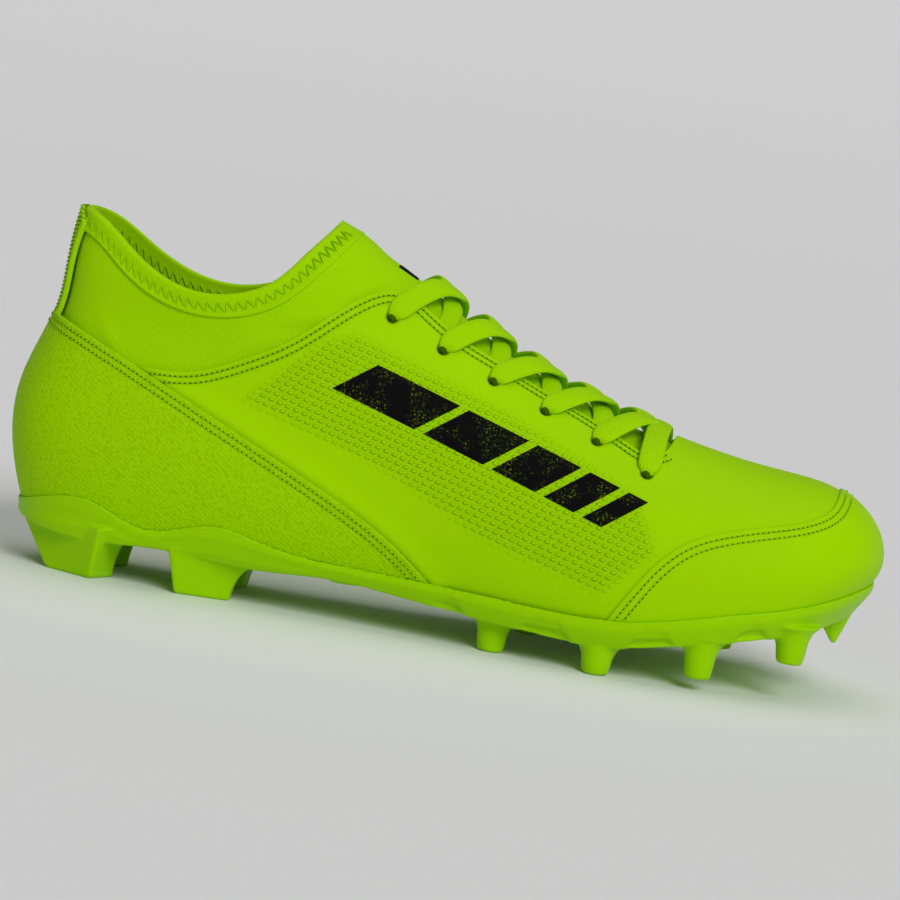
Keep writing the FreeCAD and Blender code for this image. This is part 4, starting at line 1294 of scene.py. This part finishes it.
def build_outsole():
    """Every part of the sole run together into one moulding with softened inner corners."""
    parts = [sole_shell()]
    parts += [stud(x, y, tip) for x, y, tip in STUDS]
    for side in (-1, 1):
        parts.append(lofted(REAR_FOOT, REAR_ROOT, 0, 18.0, side, REAR_STYLE))
        parts.append(lofted(FRONT_FOOT, FRONT_ROOT, 0, 15.5, side, FRONT_STYLE))
        parts.append(lofted(RIB_FOOT, RIB_ROOT, 13.0, 17.5, side, "llll"))
    tip = np.array([281.5, 3.5])
    root = np.array(TOE_ROOT)
    parts.append(lofted(tip + (root - tip) * 0.13, root, 17.6, 31, -1, "llllll", r=0.4))
    verts, faces, base = [], [], 0
    for v, f in parts:
        verts.append(v)
        faces += [tuple(base + k for k in face) for face in f]
        base += len(v)
    obj = make_mesh("moulded_outsole", np.concatenate(verts), faces, weld=0.001)
    remesh = obj.modifiers.new("voxels", "REMESH")
    remesh.mode = "VOXEL"
    remesh.voxel_size = 0.00055 / DETAIL
    relax = obj.modifiers.new("relax", "SMOOTH")
    relax.factor, relax.iterations = 0.5, 5
    deps = bpy.context.evaluated_depsgraph_get()
    mesh = bpy.data.meshes.new_from_object(obj.evaluated_get(deps))
    obj.modifiers.clear()
    obj.data = mesh
    for f in mesh.polygons:
        f.use_smooth = True
    return obj


dress(build_outsole(), "plastic", "outsole", "outsole_rear", "outsole_forefoot")


# ================================================================ inner pieces, copied from the CAD
def soft_copy(name, node, material, slot):
    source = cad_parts[node]
    obj = bpy.data.objects.new(name, source.data.copy())
    obj.matrix_world = source.matrix_world
    bpy.context.scene.collection.objects.link(obj)
    if not obj.data.uv_layers:
        obj.data.uv_layers.new(name="UVMap")
    return dress(obj, material, slot, node)


for row in (("footbed", "sockliner", "lining", "sockliner"), ("lasting_board", "insole_board", "board", "board"),
            ("toe_stiffener", "toe_puff", "board", "counter"), ("heel_stiffener", "heel_counter", "board", "counter"),
            ("eyestay_tape_lateral", "eyestay_backing_lateral", "lining", "backing"),
            ("eyestay_tape_medial", "eyestay_backing_medial", "lining", "backing")):
    soft_copy(*row)


# ================================================================ stage, light and camera
def stage_floor():
    """A sheet of pale paper that lies flat under the boot and rises slowly far behind it."""
    bpy.ops.mesh.primitive_grid_add(x_subdivisions=150, y_subdivisions=150, size=30, location=(0, 0, 0))
    floor = bpy.context.object
    floor.name = "studio_floor"
    for vertex in floor.data.vertices:
        vertex.co.z = 0.014 * max(vertex.co.xy.length - 2.0, 0.0) ** 2
    for face in floor.data.polygons:
        face.use_smooth = True
    sh = Shader("paper", (0.88, 0.88, 0.88), roughness=0.9, specular=0.1, tint=(1, 1, 1))
    sh.add_height(sh.noise(40, 2), 0.05)
    floor.data.materials.append(sh.finish())


def soft_sun(name, toward, irradiance, spread):
    """A distant softbox: the light comes from the given direction, evenly over the whole stage."""
    data = bpy.data.lights.new(name, "SUN")
    data.energy, data.angle = irradiance * math.pi, math.radians(spread)
    lamp = bpy.data.objects.new(name, data)
    lamp.rotation_euler = Vector(toward).to_track_quat("Z", "Y").to_euler()
    bpy.context.scene.collection.objects.link(lamp)


stage_floor()
soft_sun("key", (0.52, -0.9, 0.72), 0.54, 30)
soft_sun("overhead", (0.05, 0.1, 1.0), 0.25, 60)
world = bpy.data.worlds.new("studio")
world.use_nodes = True
socket(world.node_tree.nodes["Background"], "Color", (1, 1, 1, 1))
socket(world.node_tree.nodes["Background"], "Strength", 0.11)
bpy.context.scene.world = world
bpy.context.scene.view_settings.view_transform = "Standard"


WIDTH_SHOWN = 0.9 / 3.042


def photo_camera():
    """Low, almost square on to the outer side, and turned so that the toe dips."""
    azimuth, elevation, roll = math.radians(5.3), math.radians(6.4), math.radians(9.15)
    right = Vector((math.cos(azimuth), math.sin(azimuth), 0))
    level = Vector((-math.sin(azimuth), math.cos(azimuth), 0))
    ahead = level * math.cos(elevation) - Vector((0, 0, math.sin(elevation)))
    up = right.cross(ahead)
    x_axis = right * math.cos(roll) + up * math.sin(roll)
    y_axis = up * math.cos(roll) - right * math.sin(roll)
    target = Vector(((146.9 + SHIFT[0]) / 1000, (-20 + SHIFT[1]) / 1000, 0.0621))
    distance = 1.4
    data = bpy.data.cameras.new("photo")
    # 36 mm of film shows the width that lies at the target
    data.lens = 36 * distance / WIDTH_SHOWN
    camera = bpy.data.objects.new("photo", data)
    turn = Matrix((x_axis, y_axis, -ahead)).transposed()
    camera.matrix_world = Matrix.Translation(target - ahead * distance) @ turn.to_4x4()
    bpy.context.scene.collection.objects.link(camera)
    bpy.context.scene.camera = camera


photo_camera()
